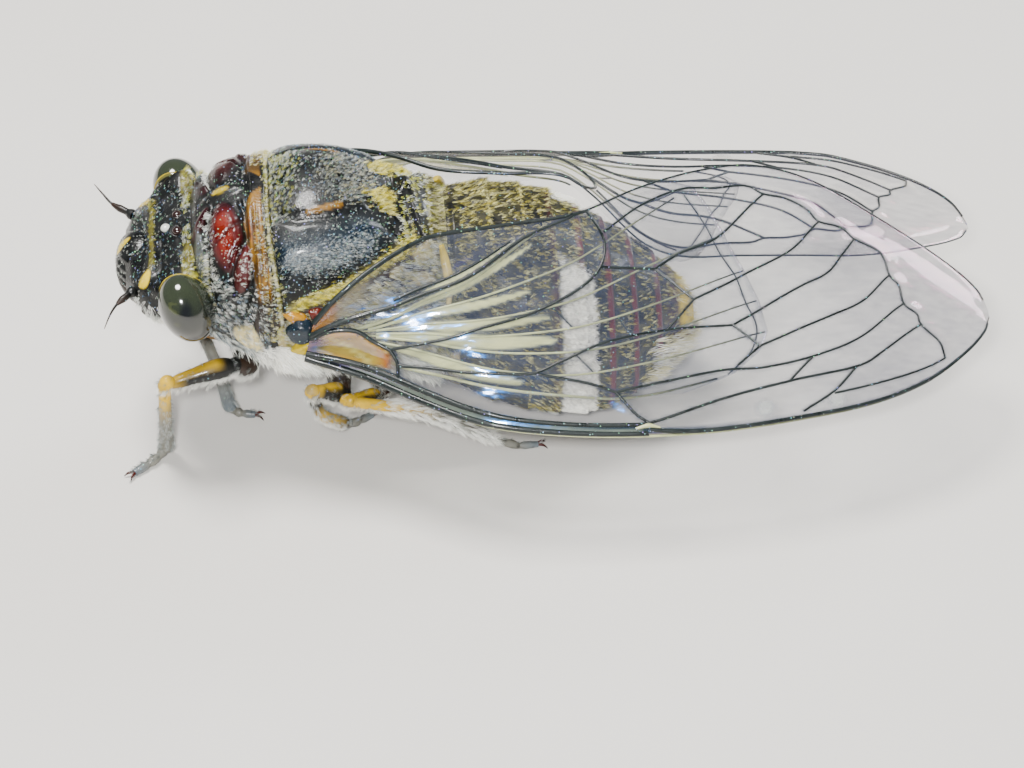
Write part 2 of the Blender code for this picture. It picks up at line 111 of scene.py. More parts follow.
def line_mark(u, v, path, width):
    """1 on a line, fading to 0 about two widths away."""
    return bell(line_distance(u, v, path), 0, width)


def oval_mark(u, v, middle, half, turn=0.0):
    """1 in the middle of a turned oval, 0 on its rim and below 0 outside."""
    c, s = math.cos(math.radians(turn)), math.sin(math.radians(turn))
    du, dv = u - middle[0], v - middle[1]
    return 1 - np.hypot((du * c + dv * s) / half[0], (dv * c - du * s) / half[1])


def ripple(points, size, seed):
    """A soft uneven field between -1 and 1, with lumps of about the given size in mm."""
    chance = np.random.default_rng(seed)
    total = np.zeros(len(points))
    for _ in range(9):
        way = chance.normal(size=3)
        way *= 2 * math.pi / size / np.linalg.norm(way) * chance.uniform(0.6, 1.5)
        total += np.sin(points @ way + chance.uniform(0, 6.3))
    return total / 4.5


def mix(base, colour, share):
    """Lay a colour over an array of colours by a share from 0 to 1."""
    share = np.clip(share, 0, 1)[:, None]
    return base * (1 - share) + np.array(colour) * share


# %% [markdown]
# Every painted piece carries its colour and roughness on its own points, worked out from where
# each point lies on the animal. That keeps a mark in place from every side, and the pile on top can
# use the same marks. One function adds a node with its settings and links.

# %% Shader helper
def connect(tree, node, links):
    """Give each named input a plain value, another node's output or a node, for its first output."""
    for socket, source in links:
        if isinstance(source, bpy.types.Node):
            source = source.outputs[0]
        if isinstance(source, bpy.types.NodeSocket):
            tree.links.new(source, node.inputs[socket])
        else:
            node.inputs[socket].default_value = source
    return node


def add_node(tree, kind, links=(), **settings):
    """A node with its settings and links."""
    made = tree.nodes.new(kind)
    for key, value in settings.items():
        setattr(made, key, value)
    return connect(tree, made, links)


def new_finish(name, values):
    """A material and its Principled shader, with the given plain values on its sockets."""
    made = bpy.data.materials.new(name)
    made.use_nodes = True
    tree = made.node_tree
    return made, tree, connect(tree, tree.nodes["Principled BSDF"], values.items())


# %% Mesh helpers
def outward(points, faces):
    """The faces turned so that a closed mesh has a positive volume."""
    volume = 0.0
    for size in (3, 4):
        chosen = np.array([f for f in faces if len(f) == size])
        if len(chosen):
            for i in range(1, size - 1):
                a, b, c = (points[chosen[:, j]] for j in (0, i, i + 1))
                volume += (a * np.cross(b, c)).sum() / 6
    return [f[::-1] for f in faces] if volume < 0 else faces


VALUE_FIELDS = {"FLOAT": "value", "FLOAT2": "vector", "FLOAT_VECTOR": "vector", "FLOAT_COLOR": "color",
                "QUATERNION": "value"}


def store(mesh, label, kind, values):
    """Write an array with one row a point into a named attribute of a mesh."""
    if kind == "FLOAT_COLOR" and np.shape(values)[1] == 3:
        values = np.concatenate([values, np.ones((len(values), 1))], 1)
    layer = mesh.attributes.new(label, kind, "POINT")
    layer.data.foreach_set(VALUE_FIELDS[kind], np.asarray(values, np.float32).ravel())


def read(items, key, width):
    """One value of every point of a mesh, as an array with one row a point."""
    values = np.empty(len(items) * width)
    items.foreach_get(key, values)
    return values.reshape(-1, width)


def quads_of(faces):
    """The four-sided faces, as rows of point numbers."""
    return np.array([f for f in faces if len(f) == 4])


# %% Pieces and lofts
def put(name, data):
    """A new object in the scene, at the origin."""
    made = bpy.data.objects.new(name, data)
    bpy.context.scene.collection.objects.link(made)
    return made


def piece(name, points, faces, finish, colours, rough=None):
    """A finished piece: drawing millimetres to the frame, colour and roughness on its points."""
    points = np.asarray(points, float)
    faces = outward(points - points.mean(0), faces)
    mesh = bpy.data.meshes.new(name)
    mesh.from_pydata((points * MM + SHIFT).tolist(), [], [list(map(int, f)) for f in faces])
    mesh.shade_smooth()
    store(mesh, "paint", "FLOAT_COLOR", colours)
    if rough is not None:
        store(mesh, "rough", "FLOAT", rough)
    mesh.materials.append(finish)
    return put(name, mesh)


def settle(made, nodes=()):
    """Let a piece ride on the body and hide the solids it stands for."""
    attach(made, "root")
    if nodes:
        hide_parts(*nodes)
    print(made.name, "faces:", len(made.data.polygons))
    return made


def ring_faces(rings, sides):
    """Faces of a closed loft: quads between rings, then a fan at each end round a middle point."""
    i, j = np.meshgrid(np.arange(rings - 1), np.arange(sides), indexing="ij")
    i, j = i.ravel(), j.ravel()
    k = (j + 1) % sides
    quads = np.stack([i * sides + j, i * sides + k, (i + 1) * sides + k, (i + 1) * sides + j], 1)
    front, back = rings * sides, rings * sides + 1
    end = (rings - 1) * sides
    fans = [(front, (m + 1) % sides, m) for m in range(sides)]
    fans += [(back, end + m, end + (m + 1) % sides) for m in range(sides)]
    return quads.tolist() + fans


def loft(rings):
    """Points and faces of a closed loft through an array of rings: count, sides, 3."""
    count, sides, _ = rings.shape
    points = np.concatenate([rings.reshape(-1, 3), rings[:1].mean(1), rings[-1:].mean(1)])
    return points, ring_faces(count, sides)


# %% [markdown]
# ## The finish of the shell
# Insect cuticle is chitin hardened like lacquer: black or stained deep red, smooth enough for sharp
# highlights, with fine pits and wrinkles that break them up. Its index is about 1.56. Tiny pale scales
# and hair roots show as specks of blue, green and white light 0.03 to 0.06 mm across. They are painted
# into the colour, partly as the scales' own pale tone and partly as painted glints, and are drawn at
# 0.07 mm, because a finer grain would not show.

# %% Lacquer-like cuticle
FLECK_GRID, FLECK_REACH = 0.16, 0.22  # mm between flecks, and a fleck's radius as a share of that


def cuticle(name, pit_mm, pit_height, speck_share, clear_coat):
    """Hard shell painted by the piece's own points, with pits, wrinkles and pale specks, partly painted glints.
    """
    made, tree, shader = new_finish(name, {
        "IOR": 1.56, "Specular IOR Level": 0.3, "Coat Weight": clear_coat, "Coat Roughness": 0.1})
    place = add_node(tree, "ShaderNodeTexCoord").outputs["Object"]
    paint = add_node(tree, "ShaderNodeAttribute", attribute_name="paint")
    rough = add_node(tree, "ShaderNodeAttribute", attribute_name="rough")
    pits = add_node(tree, "ShaderNodeTexVoronoi", [("Vector", place), ("Scale", 1 / (pit_mm * MM))])
    grain = add_node(tree, "ShaderNodeTexNoise", [("Vector", place), ("Scale", 900.0), ("Detail", 3.0)])
    cloud = add_node(tree, "ShaderNodeMapRange", [
        ("Value", grain), ("From Min", 0.3), ("From Max", 0.7), ("To Min", 0.72), ("To Max", 1.25)])
    shade = add_node(tree, "ShaderNodeVectorMath", [(0, paint), (1, cloud)], operation="MULTIPLY")
    flecks = add_node(tree, "ShaderNodeTexVoronoi", [("Vector", place), ("Scale", 1 / (FLECK_GRID * MM))])
    share = add_node(tree, "ShaderNodeSeparateColor", [("Color", flecks.outputs["Color"])])
    chosen = add_node(tree, "ShaderNodeMath", [(0, share.outputs["Red"]), (1, speck_share)],
                      operation="LESS_THAN")
    small = add_node(tree, "ShaderNodeMath", [(0, flecks), (1, FLECK_REACH)], operation="LESS_THAN")
    fleck = add_node(tree, "ShaderNodeMath", [(0, chosen), (1, small)], operation="MULTIPLY")
    # Fleck colours run from blue through green to white: partly painted glints.
    tint = add_node(tree, "ShaderNodeVectorMath", [
        (0, flecks.outputs["Color"]), (1, (0.3, 0.6, 0.7)), (2, (0.3, 0.25, 0.25))], operation="MULTIPLY_ADD")
    tone = add_node(tree, "ShaderNodeMix", [(0, fleck), (6, shade), (7, tint)], data_type="RGBA")
    dull = add_node(tree, "ShaderNodeMath", [(0, rough.outputs["Fac"]), (1, grain)], operation="ADD")
    dull = add_node(tree, "ShaderNodeMath", [(0, dull), (1, 0.42)], operation="SUBTRACT", use_clamp=True)
    first = add_node(tree, "ShaderNodeBump", [("Height", pits), ("Strength", 0.55),
                     ("Distance", pit_height * MM)])
    second = add_node(tree, "ShaderNodeBump", [("Height", grain), ("Strength", 0.5),
                      ("Distance", 0.05 * MM), ("Normal", first)])
    connect(tree, shader, [("Base Color", tone.outputs[2]), ("Roughness", dull), ("Normal", second)])
    return made


# %% Shell materials and colours
BLACK_CUTICLE = cuticle("chitin_black_pitted", 0.13, 0.03, 0.2, 0.22)
SOFT_CUTICLE = cuticle("chitin_abdomen_satin", 0.1, 0.02, 0.1, 0.1)
LEG_CUTICLE = cuticle("chitin_leg_satin", 0.11, 0.02, 0.05, 0.2)
COLOUR = {key: np.array(linear(code)) for key, code in {
    "black": "#070908", "blue_black": "#14212b", "brown": "#2a180b", "red": "#4a0706", "deep_red": "#2c050a",
    "orange_red": "#7a1d07", "ochre": "#7c5712", "amber": "#b07c12", "yellow": "#c6ab12", "cream": "#d9c98c",
    "olive": "#8c8436", "grey": "#8d938e", "white": "#e4e2d6", "rust": "#58170c", "leg_yellow": "#cfa718",
    "leg_grey": "#74736a", "blue_grey": "#68737a"}.items()}
print("shell colours:", len(COLOUR))


def tones(table, words):
    """Colours of a table by name, each with an optional factor, as in "gold 0.7, straw"."""
    found = [word.split() for word in words.split(", ")]
    return [table[name] * (float(factor[0]) if factor else 1.0) for name, *factor in found]


def colour_of(word, *cover):
    """A colour by name with an optional factor, or by hex code, and for wing film also its cover."""
    return np.array((*(linear(word) if word[0] == "#" else tones(COLOUR, word)[0]), *cover))


def all_over(count, *colour):
    """One colour for so many points."""
    return np.tile(colour_of(*colour), (count, 1))


def coats(tone, rows):
    """Coats of colour laid one by one over an array of colours: rows of colour and share."""
    for *colour, share in rows:
        tone = mix(tone, colour_of(*colour), share)
    return tone


# %% [markdown]
# ## The trunk's outline
# The trunk is an oval tube whose width, top and bottom change from neck to tail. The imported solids
# were lofted from the same table. The head is wide and flat on top, so its rows end in a power above 2
# that squares the upper half of the oval. Unrolling it gives each point two numbers: x along the body,
# and s, the way round from the middle of the back, at 0.1 mm a degree on the trunk and 0.075 on the
# head, which is close to true length.

# %% Outline tables and a point on the shell
TRUNK_SCALE, HEAD_SCALE = 0.1, 0.075  # mm a degree
TRUNK = (
    (4.8, 5.3, 16.3, 8.6), (6.4, 6.0, 17.6, 7.3), (8.0, 6.5, 18.1, 6.4), (9.4, 7.0, 18.2, 5.6),
    (11.5, 6.75, 18.9, 4.9), (13.5, 6.5, 18.9, 4.5), (15.5, 6.05, 18.3, 4.1), (17.5, 5.7, 17.4, 3.6),
    (19.2, 5.6, 16.6, 3.1), (21.0, 6.0, 15.7, 2.3), (23.0, 6.8, 15.4, 1.4), (25.5, 7.2, 14.8, 0.6),
    (28.0, 7.2, 13.7, 0.4), (30.0, 6.8, 12.1, 0.5), (31.6, 6.0, 11.0, 1.1), (33.0, 4.9, 10.1, 1.9),
    (34.4, 3.5, 9.0, 2.8), (35.5, 2.1, 7.8, 3.6), (36.2, 0.9, 6.5, 4.5),
)
HEAD = ((0.45, 2.7, 13.3, 11.2, 2.3), (0.9, 3.6, 13.8, 10.8, 2.4), (1.8, 4.65, 14.3, 9.6, 2.9),
        (3.0, 5.05, 14.7, 9.0, 3.8), (4.0, 5.2, 15.3, 8.7, 3.8), (4.75, 5.2, 15.75, 8.6, 3.0))
print("head and trunk length, mm:", TRUNK[-1][0] - HEAD[0][0])


def shell_point(table, x, angle, lift=0.0):
    """A point of the oval shell at x and angle (radians from the back's middle, left is plus)."""
    wide = table_value(table, x, 1)
    top = table_value(table, x, 2)
    bottom = table_value(table, x, 3)
    high = (top - bottom) / 2
    power = np.where(np.cos(angle) > 0, table_value(table, x, 4), 2.0) if len(table[0]) > 4 else 2.0
    side, rise = np.abs(np.sin(angle)), np.abs(np.cos(angle))
    reach = (side ** power + rise ** power) ** (-1 / power)
    out_y = -np.sign(np.sin(angle)) * side ** (power - 1) / wide
    out_z = np.sign(np.cos(angle)) * rise ** (power - 1) / high
    size = np.hypot(out_y, out_z)
    y = -wide * reach * np.sin(angle) + lift * out_y / size
    z = (top + bottom) / 2 + high * reach * np.cos(angle) + lift * out_z / size
    return np.stack([x + 0 * angle, y, z], -1)


def way_round(angle, scale=TRUNK_SCALE):
    """The distance s from the middle of the back, in mm."""
    return np.abs(angle) * 180 / math.pi * scale


def shell_piece(name, table, stops, sides, relief, paint, finish, nodes):
    """A closed skin through the given stops, with its relief, colour and roughness."""
    x, angle = np.meshgrid(stops, np.linspace(-math.pi, math.pi, sides, endpoint=False), indexing="ij")
    points, faces = loft(shell_point(table, x, angle, relief(x, angle)))
    painted = paint(np.append(x.ravel(), (stops[0], stops[-1])), np.append(angle.ravel(), (0.0, 0.0)))
    settle(piece(name, points, faces, finish, *painted), nodes)


# %% [markdown]
# ## Thorax
# The pronotum behind the head is cut by slanting grooves into glossy swellings, the larger ones deep
# red with an orange middle. A wrinkled ochre collar follows, then the big black mesonotum with
# a bluish swelling on each side, a short orange streak, and a raised cross at its rear. The swelling's
# blue is partly a painted sheen, and a pale band along its lower edge is a painted sheen. One mesh holds
# them all, because real plates meet in grooves and not in open gaps. Each feature is an oval or a line
# on the unrolled shell that lifts or lowers the surface and lays on its colour.

# %% Features of the thorax on the unrolled shell: x, s
RED_MAIN = ((6.8, 3.35), (1.08, 2.5), -8)
RED_FRONT = ((5.22, 1.75), (0.42, 1.25), 24)
GREY_FRONT = ((5.2, 4.2), (0.36, 2.1), -4)
THIRD_LOBE = ((7.82, 5.4), (0.56, 1.55), 14)
CREAM_LOBE = ((7.85, 10.3), (0.95, 1.15), 0)
FISSURES = (
    ((6.1, 0.7), (5.75, 1.6), (5.62, 2.8), (5.5, 4.2), (5.6, 6.3), (5.9, 8.0)),
    ((7.75, 1.1), (8.05, 2.4), (8.1, 3.5), (7.55, 4.5), (7.15, 5.6), (7.0, 7.2)),
    ((8.35, 4.1), (8.4, 5.4), (8.05, 6.8), (7.6, 8.6)),
)
LOBE_FOLDS = (((7.8, 2.5), (7.0, 3.0), (6.75, 3.3)), ((5.9, 4.0), (6.75, 3.3)),
              ((7.75, 3.9), (7.2, 4.4), (6.9, 5.2)))
COLLAR_FRONT = ((8.3, 0.0), (8.2, 0.9), (7.98, 2.6), (8.12, 3.9), (8.42, 5.2), (8.62, 6.5), (8.4, 8.2),
                (8.1, 9.4))
COLLAR_REAR = ((9.42, 0.0), (9.38, 1.5), (9.5, 3.6), (9.78, 5.8), (10.05, 8.3), (9.7, 9.3), (9.1, 10.2),
               (9.0, 18))
SIDE_BULGE = ((10.5, 4.6), (12.2, 4.7), (13.8, 4.3), (15.4, 3.75))
# LOW_SHEEN: the line of a pale band painted as sheen along the side swelling's lower edge; pile also grows
# along it.
LOW_SHEEN = ((10.9, 5.0), (12.2, 5.25), (13.8, 4.95), (15.2, 4.3))
DARK_FURROW = ((10.0, 2.3), (11.2, 3.0), (13.0, 3.05), (14.8, 2.75), (16.3, 2.95), (17.3, 3.6))
STREAK = ((11.9, 2.68), (12.9, 2.5), (13.9, 2.28))
CROSS_ARMS = (((17.95, 0.0), (17.2, 1.3)), ((18.2, 0.2), (18.75, 2.2), (19.2, 3.4)))
BELLY_SEAMS = (((12.1, 8.6), (12.0, 12.5), (12.4, 17)), ((14.4, 9.2), (14.5, 13), (14.6, 17)),
               ((16.7, 9.6), (16.9, 13), (17.0, 17)))


def margin_height(x, z):
    """Height above the slanting edge where the mesonotum ends and the side begins."""
    return z - (13.1 + 0.28 * (x - 10.2))


def line_x(line, s):
    """How far along the body a line of the unrolled shell lies at s."""
    return np.interp(s, [p[1] for p in line], [p[0] for p in line])


# %% Relief of the thorax
def collar_wrinkles(x, s):
    """Fine folds that run round the body, from -1 to 1."""
    return np.sin(x * 19 + 1.3 * np.sin(s * 0.9)) * 0.6 + np.sin(x * 33 - s * 0.8) * 0.4


def thorax_relief(x, angle):
    """How far the real plates stand above or below the plain oval shell, in mm."""
    s = way_round(angle)
    flat = shell_point(TRUNK, x, angle)
    lift = np.zeros(x.shape)
    front = smooth((8.6 - x) / 0.6) * smooth((11 - s) / 1.5)
    lift -= 0.16 * front
    for middle, half, turn in (RED_MAIN, RED_FRONT, GREY_FRONT, THIRD_LOBE):
        lift += 0.42 * smooth(oval_mark(x, s, middle, (half[0] * 1.12, half[1] * 1.12), turn) / 0.55)
    lift += 0.2 * smooth(oval_mark(x, s, (6.6, 0.0), (1.6, 0.55)) / 0.5)
    for path in FISSURES:
        lift -= 0.2 * line_mark(x, s, path, 0.14)
    between = smooth((x - line_x(COLLAR_FRONT, s)) / 0.2) * smooth((line_x(COLLAR_REAR, s) - x) / 0.16)
    lift += 0.16 * between * smooth((13 - s) / 2)
    lift += 0.06 * between * collar_wrinkles(x, s) * smooth((s - 1.0) / 1.5)
    for path in LOBE_FOLDS:
        lift -= 0.13 * line_mark(x, s, path, 0.12)
    lift -= 0.13 * line_mark(x, s, COLLAR_FRONT, 0.1) * (x < 9.2)
    lift -= 0.2 * line_mark(x, s, COLLAR_REAR, 0.11)
    shield = smooth((x - 9.7) / 0.5) * smooth((17.6 - x) / 0.8)
    lift += 0.24 * line_mark(x, s, SIDE_BULGE, 0.95) * shield
    lift -= 0.2 * line_mark(x, s, DARK_FURROW, 0.3)
    lift += 0.07 * line_mark(x, s, STREAK, 0.14)
    lift -= 0.38 * bell(np.hypot(x - 15.85, s - 1.95), 0, 0.3)
    lift -= 0.3 * smooth((x - 16.7) / 0.5) * smooth((4.2 - s) / 1.0) * (x < 20.9)
    for path in CROSS_ARMS:
        lift += 0.5 * line_mark(x, s, path, 0.42)
    lift += 0.3 * smooth(oval_mark(x, s, (18.0, 0.0), (0.9, 1.0)) / 0.6)
    rim = np.clip(margin_height(x, flat[..., 2]), -3, 3)
    lift -= 0.18 * bell(rim, 0, 0.16) * (x > 9.9) * (x < 19.6) * (s < 12)
    lift += 0.14 * bell(rim, 0.35, 0.2) * (x > 9.9) * (x < 18.6) * (s < 9)
    lift -= 0.35 * smooth((x - 19.45) / 0.35) * smooth((8 - s) / 3)
    for path in BELLY_SEAMS:
        lift -= 0.16 * line_mark(x, s, path, 0.16)
    lift += 0.32 * smooth(oval_mark(x, s, *CREAM_LOBE) / 0.5)
    lift -= 0.35 * smooth((0.35 - (x - 4.6)) / 0.35)
    return lift


# %% Colour and roughness of the thorax
def thorax_paint(x, angle):
    """Colour and roughness of every point: black plates, red lobes, ochre collar, pale underside."""
    s = way_round(angle)
    flat = shell_point(TRUNK, x, angle)
    n = ripple(flat, 1.3, 3)
    main = oval_mark(x, s, *RED_MAIN)
    heart = oval_mark(x, s, (6.72, 3.3), (0.6, 1.6), -8)
    front = line_x(COLLAR_FRONT, s) + 0.9 * smooth((1.3 - s) / 1.2)
    collar = smooth((x - front + 0.05 + 0.06 * n) / 0.12)
    collar = collar * smooth((line_x(COLLAR_REAR, s) - 0.28 - x) / 0.15)
    # folds is 1 in the troughs of the collar's wrinkles, where brown is laid as painted shade.
    folds = smooth((0.25 - collar_wrinkles(x, s)) / 0.6) * smooth((s - 1.2) / 1.4)
    blotch = smooth((ripple(flat, 0.45, 9) - 0.15) / 0.3) * smooth((s - 1.2) / 1.5)
    rim = margin_height(x, flat[:, 2])
    lower = smooth((-rim + 0.1) / 0.3) * (x > 9.7)
    under = smooth((s - 12.0) / 2.5)
    tone = coats(all_over(len(x), "black"), (
        # The swelling's blue-black is partly a painted bluish sheen, and the blue-grey band on LOW_SHEEN is a
        # painted sheen.
        ("blue_black", line_mark(x, s, SIDE_BULGE, 0.9)),
        ("blue_grey 0.35", line_mark(x, s, LOW_SHEEN, 0.45) * (0.7 + 0.3 * n)),
        ("deep_red", smooth(oval_mark(x, s, *RED_FRONT) / 0.2) * 0.95),
        ("grey 0.35", smooth(oval_mark(x, s, *GREY_FRONT) / 0.3) * 0.8),
        ("deep_red", smooth((main + 0.02) / 0.12)),
        ("red", smooth((main - 0.1) / 0.2) * smooth((s - 1.0) / 0.8)),
        ("orange_red", smooth((heart + 0.15 * n) / 0.5) * 0.65),
        ("red 0.8", smooth((oval_mark(x, s, *THIRD_LOBE) + 0.05) / 0.15)),
        *(("deep_red 0.5", line_mark(x, s, path, 0.1) * 0.8) for path in LOBE_FOLDS),
        *(("black", line_mark(x, s, path, 0.13) * 0.9) for path in FISSURES),
        ("yellow 0.75", smooth(oval_mark(x, s, (6.55, 0), (0.62, 0.3)) / 0.3)),
        ("ochre", collar * smooth((7.4 - s + 0.5 * n) / 0.9)),
        ("orange_red", collar * smooth(oval_mark(x, s, (8.35, 3.0), (0.35, 1.0)) / 0.5) * 0.4),
        # Brown in the fold troughs is painted shade; the blotches are the collar's own mottling.
        ("brown 0.7", collar * np.maximum(folds * 0.8, blotch * 0.75)),
        ("olive", smooth((line_mark(x, s, COLLAR_REAR, 0.16) - 0.45) / 0.3) * (s < 8.8) * 0.35),
        # Painted shade: the pronotum and collar are darkened on the right, far side, from the back down to
        # about s = 5.
        ("black", (x < 9.6) * smooth((flat[:, 1] - 0.7) / 0.6) * smooth((5.0 - s) / 0.8) * 0.7),
        ("cream", smooth((oval_mark(x, s, *CREAM_LOBE) + 0.1 * n) / 0.2)),
        ("ochre", smooth((line_mark(x, s, STREAK, 0.2) - 0.35) / 0.3) * 0.95),
        ("olive", bell(rim, 0.3, 0.32) * (x > 10.3) * (x < 18.4) * (s < 9) * 0.85),
        ("brown", lower * 0.8),
        ("cream 0.7", lower * smooth((n + 0.15) / 0.6) * 0.7),
        ("olive 0.8", smooth((x - 19.2) / 0.3) * smooth((9 - s) / 2) * 0.8),
        ("brown", under * 0.9),
        ("cream 0.6", under * smooth((ripple(flat, 2.4, 5) - 0.1) / 0.5) * 0.8),
        *(("black", line_mark(x, s, path, 0.2) * 0.8) for path in BELLY_SEAMS),
    ))
    rough = 0.34 + 0.1 * n
    rough = rough - 0.12 * smooth(main / 0.3) - 0.1 * line_mark(x, s, SIDE_BULGE, 0.9)
    rough = rough + 0.2 * under + 0.15 * lower
    return tone, np.clip(rough, 0.16, 0.85)


# %% Build the thorax
shell_piece("thorax_shell", TRUNK, np.linspace(4.6, 20.95, 230), 280, thorax_relief, thorax_paint,
            BLACK_CUTICLE, ("pronotum", "prosternum", "pronotal_collar", "mesonotum",
                                           "cruciform_elevation", "thorax_side", "metanotum"))

# %% [markdown]
# ## Abdomen
# Eight rings overlap like roof tiles: each plate flares a little towards its hind edge and hides the
# front of the next. The hind edges are rust brown; a chalky white band crosses the middle rings. The
# flare comes from a saw-tooth along x that is added to the same oval loft.

# %% Relief and colour of the abdomen
RINGS_X = (20.4, 23.2, 25.3, 27.2, 29.0, 30.7, 32.3, 33.9, 36.4)


def ring_share(x):
    """Where a point lies within its own ring, 0 in front and 1 at the hind edge."""
    k = np.clip(np.searchsorted(RINGS_X, x, side="right") - 1, 0, len(RINGS_X) - 2)
    start, end = np.array(RINGS_X)[k], np.array(RINGS_X)[k + 1]
    return (x - start) / (end - start)


def abdomen_relief(x, angle):
    """Each ring rises to its hind edge; a groove along each side parts back from belly."""
    t = ring_share(x)
    s = way_round(angle)
    lift = 0.22 * t ** 1.6 * smooth((1 - t) / 0.05) - 0.1 - 0.3 * smooth((20.95 - x) / 0.5)
    lift -= 0.16 * line_mark(x, s, ((20, 13.4), (26, 13.6), (32, 13.8), (35, 14)), 0.18)
    return lift * smooth((36.3 - x) / 1.2)


def abdomen_paint(x, angle):
    """Black olive rings with rust edges, a chalk band, a brown belly and a yellow tip."""
    t = ring_share(x)
    s = way_round(angle)
    flat = shell_point(TRUNK, x, angle)
    n = ripple(flat, 1.0, 8)
    dim_olive = COLOUR["olive"] * (0.12 + 0.13 * smooth((s - 3) / 2)[:, None])
    chalk = smooth((x - 27.1 + 0.1 * n) / 0.4) * smooth((29.7 - x + 0.15 * n) / 0.5)
    chalk = chalk * smooth((s - 1.9 + 0.4 * n) / 1.0)
    under = smooth((s - 12.6) / 0.8)
    tone = coats(mix(all_over(len(x), "black"), dim_olive, smooth((n + 0.4) / 0.8) * 0.7), (
        ("rust", smooth((t - 0.74 + 0.05 * n) / 0.06) * smooth((x - 26) / 3)),
        ("white 0.8", chalk * 0.95),
        ("brown 1.3", under * 0.85),
        ("cream 0.5", under * smooth((t - 0.5) / 0.5) * 0.7),
        ("rust", smooth((x - 33.9) / 1.0) * 0.5),
        ("yellow 1.3", smooth((x - 34.9) / 0.5) * smooth((9 - s) / 2)),
    ))
    return tone, np.clip(0.42 + 0.12 * n + 0.25 * chalk + 0.1 * under, 0.2, 0.9)


# %% Build the abdomen
shell_piece("abdomen_shell", TRUNK, np.append(np.linspace(20.4, 35.6, 236), (35.8, 36.0, 36.12, 36.18)), 240,
            abdomen_relief, abdomen_paint, SOFT_CUTICLE,
            tuple("abdomen_segment_%d" % i for i in range(1, 8)) + ("abdomen_tip",))

# %% [markdown]
# ## Head
# The head is short and very wide, with a raised brow over each feeler, three ocelli on a low mound
# and a big eye at either end. It is black with yellow brows and amber cheeks. It is lofted like the
# trunk; brows, mound and eye sockets are marks on the unrolled shell.

# %% Relief and colour of the head
BROW = ((1.15, 4.5), (1.6, 3.6), (2.0, 2.7), (2.15, 1.6), (2.1, 0.0))
BROW_PATCH = ((1.66, 3.5), (0.27, 0.85), 22)
OCELLI = ((3.05, 0.0), (3.78, 0.62), (3.78, -0.62))


def head_relief(x, angle):
    """Brows, the mound of the ocelli, a shoulder to each eye (higher on the right) and a hollow cheek."""
    s = way_round(angle, HEAD_SCALE)
    lift = 0.22 * line_mark(x, s, BROW, 0.32)
    lift -= 0.12 * line_mark(x, s, ((2.6, 4.6), (2.7, 3.0), (2.75, 1.2)), 0.28)
    lift += 0.16 * smooth(oval_mark(x, s, (3.5, 0.0), (1.0, 1.15)) / 0.8)
    lift += (0.42 + 0.4 * (angle < 0)) * smooth(oval_mark(x, s, (3.5, 3.9), (1.9, 1.3)) / 0.65)
    lift -= 0.12 * line_mark(x, s, ((3.9, 1.3), (4.2, 3.0)), 0.2)
    lift -= 0.25 * smooth((x - 4.4) / 0.35)
    lift -= 0.3 * smooth((s - 6.2) / 0.7) * smooth((11 - s) / 1.0)
    return lift * smooth((x - 0.45) / 0.5)


def head_paint(x, angle):
    """Black with yellow brows, amber cheeks and a brown throat."""
    s = way_round(angle, HEAD_SCALE)
    flat = shell_point(HEAD, x, angle)
    n = ripple(flat, 0.9, 12)
    cheek = smooth((s - 7.4) / 0.5) * smooth((11.5 - s) / 0.6) * smooth((x - 2.2) / 0.5)
    tone = coats(all_over(len(x), "black"), (
        ("yellow 1.25", smooth((oval_mark(x, s, *BROW_PATCH) + 0.1 * n) / 0.2)),
        ("olive 0.6", smooth((line_mark(x, s, BROW[2:], 0.18) - 0.4) / 0.5) * 0.5),
        ("amber", cheek * 0.9),
        ("olive 0.7", smooth((oval_mark(x, s, (4.5, 2.9), (0.55, 1.3)) + 0.1) / 0.4) * 0.7),
        ("brown", smooth((s - 11.5) / 0.8) * 0.8),
    ))
    return tone, np.clip(0.3 + 0.12 * n + 0.15 * cheek, 0.18, 0.7)


# %% Build the head
shell_piece("head_shell", HEAD, np.append((0.45, 0.5, 0.58), np.linspace(0.7, 4.75, 88)), 240, head_relief,
            head_paint, BLACK_CUTICLE, ("head",))

# %% [markdown]
# The swollen face between the feelers holds the sap pump. Its sides carry a stack of curved ridges
# where the pump's muscles are fixed, and a yellow spot marks its top. It is a tilted oval ball with a
# ripple in its sides that runs with height.

# %% Oval balls
def oval_grid(across, around):
    """Unit directions over a ball, poles left out: arrays of polar angle and turn."""
    return np.meshgrid(np.linspace(0.03, math.pi - 0.03, across),
                       np.linspace(0, 2 * math.pi, around, endpoint=False), indexing="ij")


def oval_shell(middle, half, tilt, polar, turn, lift=0.0):
    """A tilted oval ball, its surface raised by lift, which may be an array."""
    x = (half[0] + lift) * np.sin(polar) * np.cos(turn)
    y = (half[1] + lift) * np.sin(polar) * np.sin(turn)
    z = (half[2] + lift) * np.cos(polar)
    c, s = math.cos(tilt), math.sin(tilt)
    return np.stack([middle[0] + x * c + z * s, middle[1] + y, middle[2] - x * s + z * c], -1)


